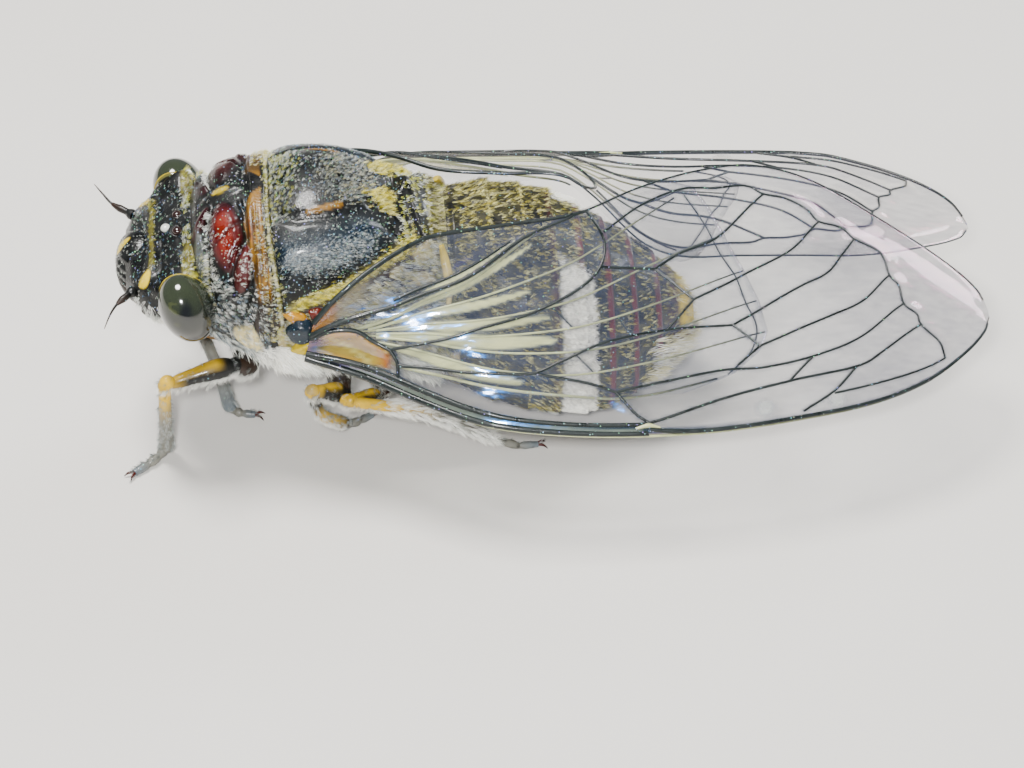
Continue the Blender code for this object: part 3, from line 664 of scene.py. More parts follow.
# %% Build the face
FACE_MIDDLE, FACE_HALF, FACE_TILT = (1.8, 0.0, 11.6), (2.0, 2.35, 2.75), math.radians(-14)
polar, turn = oval_grid(130, 120)
side = np.abs(np.sin(polar) * np.sin(turn))
height = np.cos(polar)
ridges = np.sin(height * 34 + side * 3.0) * smooth((side - 0.12) / 0.25) * smooth((0.95 - np.abs(height)) / 0.2)
face_points, face_faces = loft(oval_shell(FACE_MIDDLE, FACE_HALF, FACE_TILT, polar, turn, 0.055 * ridges))
n = ripple(face_points, 0.8, 14)
rise = face_points[:, 2]
spot = 1 - np.hypot((rise - 13.5) / 0.72, np.abs(face_points[:, 1]) / 0.36)
tone = coats(all_over(len(face_points), "black"), (
    ("brown", smooth((12.2 - rise + 0.3 * n) / 1.5)),
    ("amber 0.7", smooth((10.4 - rise + 0.4 * n) / 0.8) * 0.6),
    ("yellow 1.25", smooth((spot + 0.1 * n) / 0.2) * (face_points[:, 0] < 1.6)),
))
face = piece("face_ridged", face_points, face_faces, BLACK_CUTICLE, tone, np.clip(0.27 + 0.1 * n, 0.18, 0.5))
settle(face, ("postclypeus",))

# %% [markdown]
# ## Eyes
# A compound eye is a dome of several thousand lenses about 0.03 mm wide. Their edges can't show at
# this size, so the lens pattern is drawn at 0.09 mm as a very faint relief under a clear wet-looking
# coat. Pigment behind the lenses makes it olive above and grey brown below, with a few greenish flecks,
# and a narrow yellowish rim joins it to the head. The darker cloud is painted shade: the pseudopupil,
# the dark spot that lenses show only where they point straight at the camera, fixed here in one place.

# %% Eye finish and pieces
EYE_LENS, tree, shader = new_finish("eye_cuticle_clear_lenses", {
    "Roughness": 0.13, "IOR": 1.52, "Coat Weight": 0.8, "Coat Roughness": 0.04})
place = add_node(tree, "ShaderNodeTexCoord").outputs["Object"]
paint = add_node(tree, "ShaderNodeAttribute", attribute_name="paint")
lenses = add_node(tree, "ShaderNodeTexVoronoi", [("Vector", place), ("Scale", 1 / (0.09 * MM))])
depth = add_node(tree, "ShaderNodeTexNoise", [("Vector", place), ("Scale", 700.0), ("Detail", 3.0)])
tone_range = add_node(tree, "ShaderNodeMapRange", [("Value", depth), ("To Min", 0.7), ("To Max", 1.3)])
shade = add_node(tree, "ShaderNodeVectorMath", [(0, paint), (1, tone_range)], operation="MULTIPLY")
relief = add_node(tree, "ShaderNodeBump", [("Height", lenses), ("Strength", 0.12), ("Distance", 0.01 * MM)])
connect(tree, shader, [("Base Color", shade), ("Normal", relief)])

EYE_HALF, EYE_TILT, EYE_RIM = (1.68, 1.95, 2.35), math.radians(-20), -0.34
EYES = (("left", -1, (4.2, -5.4, 12.98)), ("right", 1, (3.95, 5.62, 13.02)))
for label, sign, middle in EYES:
    polar, turn = oval_grid(80, 96)
    points, faces = loft(oval_shell(middle, EYE_HALF, EYE_TILT, polar, turn))
    local = (points - middle) / EYE_HALF
    outward_share = local[:, 1] * sign
    n = ripple(points, 0.7, 21)
    cloud = 1 - np.linalg.norm((local - (0.0, sign * 0.72, 0.42)) / (0.36, 0.6, 0.4), axis=1)
    tone = coats(all_over(len(points), "#191d18"), (
        ("#2c3322", smooth((local[:, 2] - 0.1) / 0.7) * 0.8),
        ("#262521", smooth((-local[:, 2] - 0.05) / 0.6)),
        ("#403e39", smooth((-local[:, 2] - 0.6) / 0.4) * 0.6),
        # Painted shade: the pseudopupil's dark cloud, fixed in one place on the eye.
        ("#080c12", smooth((cloud + 0.1 * n) / 0.7) * 0.9),
        ("#565c30", smooth((n - 0.5) / 0.3) * smooth((-local[:, 0] - 0.15) / 0.3) * 0.3),
        ("#6d6a32", smooth((EYE_RIM + 0.05 - outward_share) / 0.1) * 0.7),
        ("black", smooth((EYE_RIM - 0.06 - outward_share) / 0.05)),
    ))
    eye = piece("eye_lens_" + label, points, faces, EYE_LENS, tone)
    settle(eye, ("eye_" + label,))

# %% [markdown]
# ## Tubes along lines
# Wing veins, feelers, eye rims, legs and claws are all tubes that follow a line and change in thickness.
# One Geometry Nodes tree makes them: it reads a mesh of plain edges whose points carry their own
# radius, and sweeps a small circle along them. A tree suits this better than loose curves, because a
# whole wing's net of veins becomes one piece with one set of named inputs.

# %% The tube tree
def new_tree(name, sockets):
    """A Geometry Nodes tree with the named sockets: the tree, its inputs and its output node."""
    tree = bpy.data.node_groups.new(name, "GeometryNodeTree")
    tree.interface.new_socket("Geometry", in_out="INPUT", socket_type="NodeSocketGeometry")
    tree.interface.new_socket("Geometry", in_out="OUTPUT", socket_type="NodeSocketGeometry")
    for label, kind in sockets:
        tree.interface.new_socket(label, in_out="INPUT", socket_type=kind)
    return tree, add_node(tree, "NodeGroupInput").outputs, add_node(tree, "NodeGroupOutput")


def grow(name, source, tree, finish, **values):
    """Run a tree on a source mesh and keep the result as a plain mesh piece at the origin."""
    source.modifiers.new("grow", "NODES").node_group = tree
    for item in tree.interface.items_tree:
        if item.item_type == "SOCKET" and item.in_out == "INPUT" and item.name in values:
            source.modifiers["grow"][item.identifier] = values[item.name]
    bpy.context.view_layer.update()
    graph = bpy.context.evaluated_depsgraph_get()
    mesh = bpy.data.meshes.new_from_object(source.evaluated_get(graph), depsgraph=graph)
    source.modifiers.clear()
    bpy.data.objects.remove(source, do_unlink=True)
    mesh.name = name
    if finish.name not in mesh.materials:
        mesh.materials.append(finish)
    return put(name, mesh)


TUBES, tube_in, tube_out = new_tree("tubes_along_lines", [
    ("Sides", "NodeSocketInt"), ("Thickness", "NodeSocketFloat"), ("Finish", "NodeSocketMaterial")])
line = add_node(TUBES, "GeometryNodeMeshToCurve", [("Mesh", tube_in["Geometry"])])
thick = add_node(TUBES, "GeometryNodeInputNamedAttribute", [("Name", "thick")], data_type="FLOAT")
scaled = add_node(TUBES, "ShaderNodeMath", [(0, thick.outputs["Attribute"]), (1, tube_in["Thickness"])],
                  operation="MULTIPLY")
ring = add_node(TUBES, "GeometryNodeCurvePrimitiveCircle", [("Resolution", tube_in["Sides"]), ("Radius", MM)])
swept = add_node(TUBES, "GeometryNodeCurveToMesh", [
    ("Curve", line), ("Profile Curve", ring), ("Scale", scaled), ("Fill Caps", True)])
rounded = add_node(TUBES, "GeometryNodeSetShadeSmooth", [("Geometry", swept)])
plain = add_node(TUBES, "GeometryNodeRealizeInstances", [("Geometry", rounded)])
dressed = add_node(TUBES, "GeometryNodeSetMaterial", [("Geometry", plain), ("Material", tube_in["Finish"])])
connect(TUBES, tube_out, [("Geometry", dressed)])
print(TUBES.name, "nodes:", len(TUBES.nodes))


# %% From lines to tubes
def rounded_path(points, steps):
    """A smooth line through points (Catmull-Rom), with the given steps between each two."""
    p = np.asarray(points, float)
    p = np.concatenate([p[:1] * 2 - p[1:2], p, p[-1:] * 2 - p[-2:-1]])
    t = np.linspace(0, 1, steps, endpoint=False)[:, None]
    made = []
    for a, b, c, d in zip(p, p[1:], p[2:], p[3:]):
        bow, twist = 2 * a - 5 * b + 4 * c - d, 3 * b - a - 3 * c + d
        made.append(0.5 * (2 * b + (c - a) * t + bow * t ** 2 + twist * t ** 3))
    return np.concatenate(made + [p[-2:-1]])


def tubes(name, lines, finish, sides=6, rough=0.35):
    """One piece from many lines, each a tuple of points in drawing mm, radii in mm and colours."""
    points, edges, thick, tone = [], [], [], []
    for path, radii, colours in lines:
        start = len(points)
        share = np.linspace(0, 1, len(path))
        points += (np.asarray(path) * MM + SHIFT).tolist()
        edges += [(start + i, start + i + 1) for i in range(len(path) - 1)]
        thick += np.interp(share, np.linspace(0, 1, len(radii)), radii).tolist()
        stops = np.linspace(0, 1, len(colours))
        tone += np.stack([np.interp(share, stops, np.array(colours)[:, i]) for i in range(3)], 1).tolist()
    mesh = bpy.data.meshes.new(name + "_lines")
    mesh.from_pydata(points, edges, [])
    store(mesh, "thick", "FLOAT", thick)
    store(mesh, "paint", "FLOAT_COLOR", tone)
    store(mesh, "rough", "FLOAT", np.full(len(points), rough))
    return grow(name, put(name + "_lines", mesh), TUBES, finish, Sides=sides, Thickness=1.0, Finish=finish)


# %% [markdown]
# A cicada's feeler is a thick two-part base with a bristle on it. The beak starts under the face and
# lies back between the fore legs. A narrow raised rim closes the seam between each eye and the head.

# %% Feelers, beak and eye rims
def feeler(sign, line):
    """Tubes of one feeler: two base joints, then a bristle along the line."""
    base = [(0.95, sign * 3.55, 12.95), (0.6, sign * 3.9, 12.92)]
    stem = rounded_path([base[1]] + line, 8)
    parts = [(rounded_path(base, 6), (0.34, 0.36, 0.27), (COLOUR["black"],))]
    parts.append((stem[:9], (0.22, 0.24, 0.12), (COLOUR["black"], COLOUR["brown"])))
    parts.append((stem[8:], (0.085, 0.07, 0.05, 0.022), (COLOUR["black"], COLOUR["brown"])))
    return parts


def rim_path(sign, middle, share):
    """The oval line where an eye meets the head, a share of its half width towards the middle."""
    turn = np.linspace(0, 2 * math.pi, 65)
    small = math.sqrt(1 - share ** 2)
    flat = np.stack([EYE_HALF[0] * small * np.cos(turn), 0 * turn, EYE_HALF[2] * small * np.sin(turn)], -1)
    c, s = math.cos(EYE_TILT), math.sin(EYE_TILT)
    x = middle[0] + flat[:, 0] * c + flat[:, 2] * s
    z = middle[2] - flat[:, 0] * s + flat[:, 2] * c
    return np.stack([x, np.full(65, middle[1] + sign * share * EYE_HALF[1]), z], -1)


left_line = [(-0.1, -4.55, 12.75), (-0.55, -5.1, 12.4), (-0.95, -5.7, 11.8)]
right_line = [(-0.4, 4.6, 13.1), (-1.0, 5.3, 13.4), (-1.5, 5.9, 13.7)]
for (label, sign, middle), line in zip(EYES, (left_line, right_line)):
    settle(tubes("feeler_" + label, feeler(sign, line), LEG_CUTICLE, 10), ("antenna_" + label,))
    rim_tone = tones(COLOUR, "olive 0.9, yellow 0.7, yellow 0.7, olive 0.9")
    rim = [(rim_path(sign, middle, EYE_RIM), (0.045,), rim_tone)]
    settle(tubes("eye_rim_" + label, rim, LEG_CUTICLE, 8))
BEAK = (
    (((1.75, 0, 8.7), (2.2, 0, 8.2), (2.75, 0, 7.7)), (0.86, 0.8, 0.62), "brown, black"),
    (((2.7, 0, 7.75), (3.6, 0, 6.85), (5.2, 0, 6.0), (7.4, 0, 5.05)), (0.46, 0.44, 0.38, 0.33),
     "brown, amber 0.6"),
    (((7.3, 0, 5.1), (8.6, 0, 4.5), (9.6, 0, 4.1)), (0.36, 0.28, 0.1), "brown, black"),
)
mouth = [(rounded_path(line, 6), radii, tones(COLOUR, words)) for line, radii, words in BEAK]
settle(tubes("beak", mouth, LEG_CUTICLE, 14), ("anteclypeus", "rostrum"))

# %% [markdown]
# Three ocelli, simple glassy eyes, sit in a triangle on the top of the head, each in a dark ring. The
# front one's pale pearl colour is a painted highlight, and the hind two are dark brown.

# %% Ocelli
OCELLUS, tree, shader = new_finish("ocellus_clear_cuticle", {
    "Roughness": 0.08, "IOR": 1.5, "Coat Weight": 1.0, "Coat Roughness": 0.03})
place = add_node(tree, "ShaderNodeTexCoord").outputs["Object"]
paint = add_node(tree, "ShaderNodeAttribute", attribute_name="paint")
depth = add_node(tree, "ShaderNodeTexNoise", [("Vector", place), ("Scale", 1500.0)])
deep = add_node(tree, "ShaderNodeMapRange", [("Value", depth), ("To Min", 0.7), ("To Max", 1.2)])
warm = add_node(tree, "ShaderNodeVectorMath", [(0, paint), (1, deep)], operation="MULTIPLY")
connect(tree, shader, [("Base Color", warm)])
domes, dome_faces, dome_tone, rings = [], [], [], []
for i, (x, y) in enumerate(OCELLI):
    angle = np.array(-y / HEAD_SCALE * math.pi / 180)
    seat = shell_point(HEAD, np.array(x), angle, head_relief(np.array(x), angle) - 0.06)
    polar, turn = oval_grid(20, 28)
    points, faces = loft(oval_shell(seat, (0.34, 0.34, 0.3), 0.0, polar, turn))
    dome_faces += [tuple(v + len(domes) * len(points) for v in f) for f in faces]
    domes.append(points)
    # The front dome's pale pearl is a painted highlight; the hind two are dark brown.
    dome_tone += [linear("#2a1713") if i else linear("#dcdcd2")] * len(points)
    around = np.linspace(0, 2 * math.pi, 33)
    tilt = -0.1 * np.sin(around) * np.sign(y)
    circle = seat + np.stack([0.4 * np.cos(around), 0.4 * np.sin(around), tilt], -1)
    rings.append((circle, (0.07,), (COLOUR["black"],)))
settle(piece("ocelli", np.concatenate(domes), dome_faces, OCELLUS, np.array(dome_tone)))
settle(tubes("ocelli_rings", rings, LEG_CUTICLE, 6))

# %% [markdown]
# ## Wings
# A wing is a clear film about 0.02 mm thick, stretched over a net of veins. The film is drawn 0.06 mm
# thick, as a closed sheet ruled between two edge lines, as its solid is, with more points. It dips a
# little between veins, as real film does, so that reflections break up cell by cell.

# %% Edge lines: x, distance from the middle plane to the wing's side, z
WING_TIP_X = 54.5
WING_ARCH = 0.7  # mm that the middle of a wing stands above its edges
LEFT_COSTA = (
    (11.3, 7.75, 10.5), (14.6, 8.75, 9.75), (18.4, 10.9, 9.25), (21.5, 12.5, 8.95), (24.8, 13.2, 8.6),
    (30.0, 13.5, 8.2), (36.0, 13.3, 8.0), (42.1, 12.3, 7.85), (46.5, 11.2, 7.8), (50.0, 9.5, 7.8),
    (52.5, 7.4, 7.9), (54.0, 5.6, 8.0), (WING_TIP_X, 4.3, 8.05))
LEFT_HIND = (
    (11.9, 7.4, 13.0), (13.0, 7.0, 14.2), (14.9, 6.05, 15.4), (17.4, 4.5, 16.1), (19.3, 3.45, 16.25),
    (23.7, 2.5, 16.1), (27.9, 1.85, 16.15), (29.8, 1.1, 16.2), (32.4, -0.2, 16.2), (36.6, -2.1, 15.8),
    (40.0, -2.95, 15.3), (43.7, -2.65, 14.1), (48.2, -0.8, 12.0), (52.1, 0.8, 9.7), (54.0, 2.2, 8.5),
    (WING_TIP_X, 3.6, 8.1))
RIGHT_COSTA = (
    (11.3, 7.75, 10.5), (14.6, 9.6, 9.8), (19.0, 12.3, 9.2), (23.4, 13.0, 8.75), (32.7, 13.35, 8.1),
    (42.0, 13.1, 7.85), (46.0, 12.6, 7.8), (48.1, 11.7, 7.8), (50.4, 10.4, 7.8), (52.4, 8.8, 7.85),
    (53.8, 7.0, 7.9), (WING_TIP_X, 5.0, 7.9))
RIGHT_HIND = (
    (11.9, 7.4, 13.0), (13.0, 7.0, 14.2), (14.9, 6.05, 15.4), (17.4, 4.5, 16.1), (20.2, 2.95, 16.1),
    (24.0, 2.4, 16.0), (28.0, 1.95, 15.9), (29.8, 0.5, 15.3), (32.4, -2.4, 14.1), (34.8, -3.2, 13.4),
    (38.7, -2.7, 12.75), (42.5, -2.2, 12.1), (46.8, -1.1, 10.9), (51.1, 1.3, 9.25), (53.7, 3.1, 8.3),
    (WING_TIP_X, 4.4, 7.95))
print("forewing length, mm:", round(WING_TIP_X - LEFT_COSTA[0][0], 1))


def wing_point(edges, along, across, lift=0.0):
    """A point of the left or right sheet; across is 0 at the leading edge and 1 at the hind edge."""
    along, across = np.asarray(along, float), np.asarray(across, float)
    sign = -1 if edges[0] is LEFT_COSTA else 1
    ends = []
    for edge in edges:
        x = edge[0][0] + (WING_TIP_X - edge[0][0]) * along
        ends.append(np.stack([x, -table_value(edge, x, 1), table_value(edge, x, 2)], -1))
    chord = ends[1] - ends[0]
    out = np.stack([0 * along, -chord[..., 2], chord[..., 1]], -1)
    out /= np.maximum(np.linalg.norm(out, axis=-1, keepdims=True), 1e-9)
    arch = WING_ARCH * 4 * across * (1 - across) * np.minimum(1, np.linalg.norm(chord, axis=-1) / 12)
    point = ends[0] + chord * across[..., None] + out * (arch + lift)[..., None]
    return point * (1, -sign, 1)


# %% [markdown]
# The vein net is written as lines of (along, across) on the forewing, the same for both sides: the
# basal cell, the long claval fold line, the forking middle veins, the cross veins and the zigzag line
# that runs inside the border. Points between are rounded by the same curve that the feelers use.

# %% The forewing's veins: radii at the two ends, then points in thousandths of the wing
FORE_VEINS = (
    (0.15, 0.08, ((0, 990), (70, 995), (170, 990), (280, 990), (400, 985))),
    (0.15, 0.07, ((0, 660), (30, 625), (90, 610), (130, 620), (220, 720), (310, 910), (395, 990))),
    (0.09, 0.05, ((120, 655), (200, 735), (290, 900))),
    (0.14, 0.09, ((0, 580), (32, 540), (67, 460), (92, 350), (117, 280))),
    (0.09, 0.09, ((117, 280), (127, 200), (129, 90))),
    (0.08, 0.07, ((117, 280), (132, 310), (187, 380), (247, 470), (317, 540), (390, 640), (420, 710),
                  (428, 820), (408, 960), (400, 985))),
    (0.07, 0.07, ((420, 710), (463, 670), (500, 640))),
    (0.07, 0.055, ((500, 640), (538, 680), (600, 720), (672, 880))),
    (0.07, 0.06, ((500, 640), (555, 490))),
    (0.06, 0.06, ((555, 490), (513, 390))),
    (0.085, 0.06, ((128, 180), (173, 210), (217, 230), (272, 250), (318, 260), (362, 320), (420, 380),
                   (513, 390), (610, 370))),
    (0.06, 0.05, ((555, 490), (627, 550), (703, 650), (752, 810))),
    (0.06, 0.05, ((610, 370), (655, 420), (717, 510), (757, 580), (783, 690), (803, 790))),
    (0.06, 0.06, ((610, 370), (648, 280))),
    (0.06, 0.06, ((648, 280), (613, 220))),
    (0.06, 0.05, ((648, 280), (693, 320), (755, 390), (807, 480), (850, 650))),
    (0.07, 0.07, ((318, 260), (390, 220), (435, 170))),
    (0.07, 0.05, ((435, 170), (492, 190), (587, 210), (655, 200), (733, 230), (802, 310), (867, 490))),
    (0.07, 0.08, ((435, 170), (462, 80), (482, 40))),
    (0.08, 0.05, ((482, 40), (585, 105), (693, 140), (788, 170), (830, 230), (890, 360))),
    (0.06, 0.06, ((723, 220), (688, 140))),
    (0.06, 0.06, ((788, 170), (752, 80), (705, 20))),
    (0.06, 0.05, ((752, 70), (825, 80), (922, 80))),
    (0.055, 0.05, ((428, 860), (485, 920), (547, 940), (600, 915), (648, 910), (672, 880), (705, 875),
                   (735, 850), (752, 810), (785, 820), (803, 790), (840, 770), (850, 650), (862, 600),
                   (867, 490), (885, 430), (890, 360), (915, 220), (922, 80))),
    (0.2, 0.11, ((0, 120), (40, 115), (80, 100), (163, 65), (240, 50), (312, 40), (480, 35))),
    (0.21, 0.13, ((0, 0), (80, 0), (200, 0), (350, 0), (480, 0))),
    (0.13, 0.06, ((480, 15), (550, 0), (700, 0), (820, 0), (920, 0), (970, 0), (995, 0))),
    (0.05, 0.045, ((400, 985), (500, 1000), (600, 1000), (700, 1000), (800, 1000), (900, 1000),
                   (960, 1000), (995, 1000))),
)
# The hindwing's veins: radii, then x and across
HIND_VEINS = (
    (0.14, 0.06, ((14.0, 0.45), (16.3, 0.52), (21.1, 0.71), (25.3, 0.93), (28.0, 0.99))),
    (0.1, 0.05, ((15.0, 0.44), (18.0, 0.53), (23.0, 0.66), (29.0, 0.8), (34.5, 0.92))),
    (0.09, 0.05, ((15.5, 0.43), (20.0, 0.49), (26.0, 0.57), (32.0, 0.66), (37.4, 0.73))),
    (0.09, 0.05, ((15.5, 0.4), (20.0, 0.42), (26.0, 0.46), (32.0, 0.5), (38.6, 0.58))),
    (0.09, 0.05, ((15.5, 0.37), (20.0, 0.36), (26.0, 0.36), (32.0, 0.38), (39.3, 0.46))),
    (0.09, 0.05, ((15.5, 0.33), (20.0, 0.29), (26.0, 0.26), (32.0, 0.28), (39.7, 0.34))),
    (0.12, 0.07, ((14.5, 0.26), (16.9, 0.18), (20.7, 0.19), (26.8, 0.17), (31.0, 0.15), (36.5, 0.19))),
    (0.05, 0.05, ((26.4, 0.57), (27.6, 0.47))),
    (0.05, 0.05, ((30.4, 0.49), (31.4, 0.38))),
    (0.05, 0.05, ((27.6, 0.36), (28.8, 0.265))),
    (0.05, 0.045, ((37.2, 0.2), (38.7, 0.27), (39.2, 0.36), (38.6, 0.46), (38.1, 0.56), (37.2, 0.66),
                   (36.4, 0.78), (35.2, 0.92))),
)
FORE = {"left": (LEFT_COSTA, LEFT_HIND), "right": (RIGHT_COSTA, RIGHT_HIND)}
HIND_LIFT = -0.42   # mm that a hindwing lies under its forewing
VEIN_SWELL = 1.3    # how much thicker a forewing vein is drawn than its radius in the list
# The hindwing's rounded outer edge: across and x
MARGIN_X = ((0.13, 33.0), (0.2, 37.6), (0.27, 39.3), (0.34, 39.9), (0.46, 39.5), (0.58, 38.7), (0.7, 37.8),
            (0.85, 36.8), (0.95, 35.8), (1.0, 34.2))
print("veins a side:", len(FORE_VEINS), "and", len(HIND_VEINS))


# %% Points on the wings
def on_forewing(edges, line, lift=0.0, steps=9):
    """A rounded vein line of (along, across), in thousandths, laid on a forewing."""
    flat = rounded_path([(a / 1000, c / 1000, 0) for a, c in line], steps)
    return wing_point(edges, flat[:, 0], np.clip(flat[:, 1], -0.01, 1.01), lift)


def on_hindwing(edges, line, steps=9):
    """A rounded vein line of (x, across) laid on a hindwing, just under the forewing."""
    flat = rounded_path([(x, c, 0) for x, c in line], steps)
    base_x = edges[0][0][0]
    return wing_point(edges, (flat[:, 0] - base_x) / (WING_TIP_X - base_x), flat[:, 1], HIND_LIFT)


def nearest(points, line_points):
    """Distance from each point to the nearest of the line points, worked out in slices."""
    best = np.empty(len(points))
    for start in range(0, len(points), 800):
        part = points[start:start + 800]
        best[start:start + 800] = np.sqrt(((part[:, None] - line_points[None]) ** 2).sum(-1).min(1))
    return best


# %% [markdown]
# The film is chitin too, clear with a smoky blue-violet cast; that cast is partly a painted reflection.
# Its colour and its share of cover sit on the sheet's points: nearly bare in the cells, darker beside
# each vein, amber and tan in the cells at the base, grey green in the narrow strip along the leading
# edge. Its surface carries wrinkles of about 0.5 mm, which are what makes real film shimmer. The index
# is set above chitin's 1.56, to match the strong shine that the film shows at flat angles.

# %% Film finish
FILM, tree, shader = new_finish("chitin_wing_film_clear", {
    "Roughness": 0.14, "IOR": 1.95, "Coat Weight": 1.0, "Coat IOR": 1.75, "Coat Roughness": 0.06,
    "Thin Film Thickness": 310.0, "Thin Film IOR": 1.45})
place = add_node(tree, "ShaderNodeTexCoord").outputs["Object"]
paint = add_node(tree, "ShaderNodeAttribute", attribute_name="paint")
stretch = add_node(tree, "ShaderNodeMapping", [("Vector", place), ("Scale", (0.35, 1.0, 1.0))])
wrinkles = add_node(tree, "ShaderNodeTexNoise", [("Vector", stretch), ("Scale", 1 / (0.5 * MM)),
                    ("Detail", 2.0)])
cast_range = add_node(tree, "ShaderNodeMapRange", [
    ("Value", wrinkles), ("From Min", 0.3), ("From Max", 0.7), ("To Min", 0.75), ("To Max", 1.3)])
cover = add_node(tree, "ShaderNodeMath", [(0, paint.outputs["Alpha"]), (1, cast_range)],
                 operation="MULTIPLY", use_clamp=True)
relief = add_node(tree, "ShaderNodeBump", [("Height", wrinkles), ("Strength", 0.6), ("Distance", 0.06 * MM)])
connect(tree, shader, [("Base Color", paint), ("Alpha", cover), ("Normal", relief)])
print(FILM.name, "nodes:", len(tree.nodes))


# %% Closed film sheets
HALF_FILM = 0.03               # mm
FORE_DIP, HIND_DIP = 0.16, 0.1  # mm that the film sinks between its veins


def film_sheet(name, grid, colours):
    """A grid of points made a closed sheet, painted with colour and cover."""
    n, m, _ = grid.shape
    du = np.gradient(grid, axis=0)
    dv = np.gradient(grid, axis=1)
    normal = np.cross(du, dv)
    normal /= np.maximum(np.linalg.norm(normal, axis=-1, keepdims=True), 1e-9)
    points = np.concatenate([(grid + side * HALF_FILM * normal).reshape(-1, 3) for side in (1, -1)])
    i, j = (v.ravel() for v in np.meshgrid(np.arange(n - 1), np.arange(m - 1), indexing="ij"))
    a, b = i * m + j, (i + 1) * m + j
    upper = np.stack([a, b, b + 1, a + 1], 1)
    lower = upper[:, ::-1] + n * m
    rim = list(range(m)) + [r * m + m - 1 for r in range(1, n)]
    rim += [(n - 1) * m + c for c in range(m - 2, -1, -1)] + [r * m for r in range(n - 2, 0, -1)]
    sides = [(p, q, q + n * m, p + n * m) for p, q in zip(rim, rim[1:] + rim[:1])]
    faces = upper.tolist() + lower.tolist() + sides
    return piece(name, points, faces, FILM, np.concatenate([colours, colours]))


# %% Forewing films
def forewing_film(along, across, near_vein, chord):
    """Colour and cover of the forewing: red, green, blue and alpha for every point."""
    strip = np.interp(along, (0, 0.08, 0.24, 0.48, 0.5, 1), (1.5, 1.15, 0.66, 0.5, 0.28, 0.16))
    border = across * chord - strip
    top = np.interp(along, (0, 0.032, 0.067, 0.092, 0.117, 0.13), (0.58, 0.54, 0.46, 0.35, 0.28, 0.2))
    basal = smooth((0.122 - along) / 0.006) * smooth((along - 0.012) / 0.02)
    basal = basal * smooth((across - 0.125) / 0.03) * smooth((top - across) / 0.03)
    shine = smooth((np.sin(along * 120 + across * 25) - 0.6) / 0.4)
    clavus = smooth((0.11 - along) / 0.05) * smooth((across - 0.66) / 0.04) * smooth((0.97 - across) / 0.03)
    # The bluish grey over the whole film, denser and more violet on the outer half, is partly a painted
    # reflection.
    return coats(all_over(len(along), "#5d6577", 0.075), (
        ("#55566e", 0.19, smooth((along - 0.6) / 0.25)),
        ("#1a2224", 0.5, bell(near_vein, 0, 0.11)),
        ("#2b3632", 0.9, smooth(-border / 0.12)),
        ("#76806f", 0.8, smooth((-border - 0.16) / 0.1) * (along < 0.47) * (along > 0.06)),
        ("#9a8426", 0.88, basal),
        ("#b98f22", 0.93, basal * smooth((0.55 - near_vein) / 0.4)),
        ("#9c5a14", 0.93, basal * smooth((along - 0.095) / 0.02)),
        ("#d8cf74", 0.7, basal * shine * 0.5),
        ("#8b846c", 0.3, clavus),
        ("#a8752c", 0.45, clavus * smooth((0.045 - along) / 0.02)),
        *(("#b9bdb8", 0.5, smooth(oval_mark(along, across, middle, (0.016, 0.04)) / 0.5))
          for middle in ((0.65, 0.055), (0.755, 0.045))),
    ))


ALONG = np.sin(math.pi / 2 * np.linspace(0, 1, 190)) ** 0.95
ACROSS = np.linspace(0, 1, 84)
for label, edges in FORE.items():
    along, across = np.meshgrid(ALONG, ACROSS, indexing="ij")
    flat = wing_point(edges, along, across)
    net = np.concatenate([on_forewing(edges, line, 0.0, 24) for _, _, line in FORE_VEINS])
    gap = nearest(flat.reshape(-1, 3), net).reshape(along.shape)
    chord = np.linalg.norm(flat[:, -1] - flat[:, 0], axis=1)[:, None] + 0 * across
    grid = wing_point(edges, along, across, -FORE_DIP * smooth(gap / 1.1))
    film = forewing_film(along.ravel(), across.ravel(), gap.ravel(), chord.ravel())
    settle(film_sheet("forewing_film_" + label, grid, film), ("forewing_" + label,))

# %% [markdown]
# The hindwing lies close under the forewing and shows through it: clear outside, with milky cream
# streaks fanning from its base. Its outer edge is rounded, so each row across runs out to its own x.

# %% Hindwing films
# The cream streaks: line of (x, across), half width across, cover
CREAM_STREAKS = (
    (((15.8, 0.51), (20.5, 0.68), (25.4, 0.89)), 0.025, 0.8556),
    (((17.0, 0.6), (20.5, 0.74), (24.6, 0.93)), 0.018, 0.8096),
    (((15.5, 0.46), (20.0, 0.56), (25.2, 0.66)), 0.024, 0.782),
    (((15.5, 0.43), (20.0, 0.47), (26.4, 0.53)), 0.028, 0.8096),
    (((16.0, 0.385), (20.0, 0.4), (26.8, 0.42)), 0.036, 0.7912),
    (((16.0, 0.3), (20.0, 0.255), (24.6, 0.22)), 0.034, 0.828),
)


def hindwing_film(x, across, share, near_vein):
    """Colour and cover of the hindwing: red, green, blue and alpha for every point."""
    # The bluish grey over the whole film is partly a painted reflection.
    film = coats(all_over(len(x), "#667085", 0.06), (
        ("#20282a", 0.35, bell(near_vein, 0, 0.1)),
        ("#667085", 0.25, smooth((share - 0.98) / 0.02)),
    ))
    for line, wide, cover in CREAM_STREAKS:
        end_x = line[-1][0]
        middle = np.interp(x, [p[0] for p in line], [p[1] for p in line])
        swell = np.clip((x - 14.8) / 4, 0.25, 1.2) * np.sqrt(np.clip((end_x - x) / 4.2, 1e-9, 1))
        streak = smooth((1.1 - np.abs(across - middle) / (wide * swell)) / 0.5) * smooth((end_x - x) / 0.4)
        film = mix(film, colour_of("#e3e5a4", cover), streak)
    return film


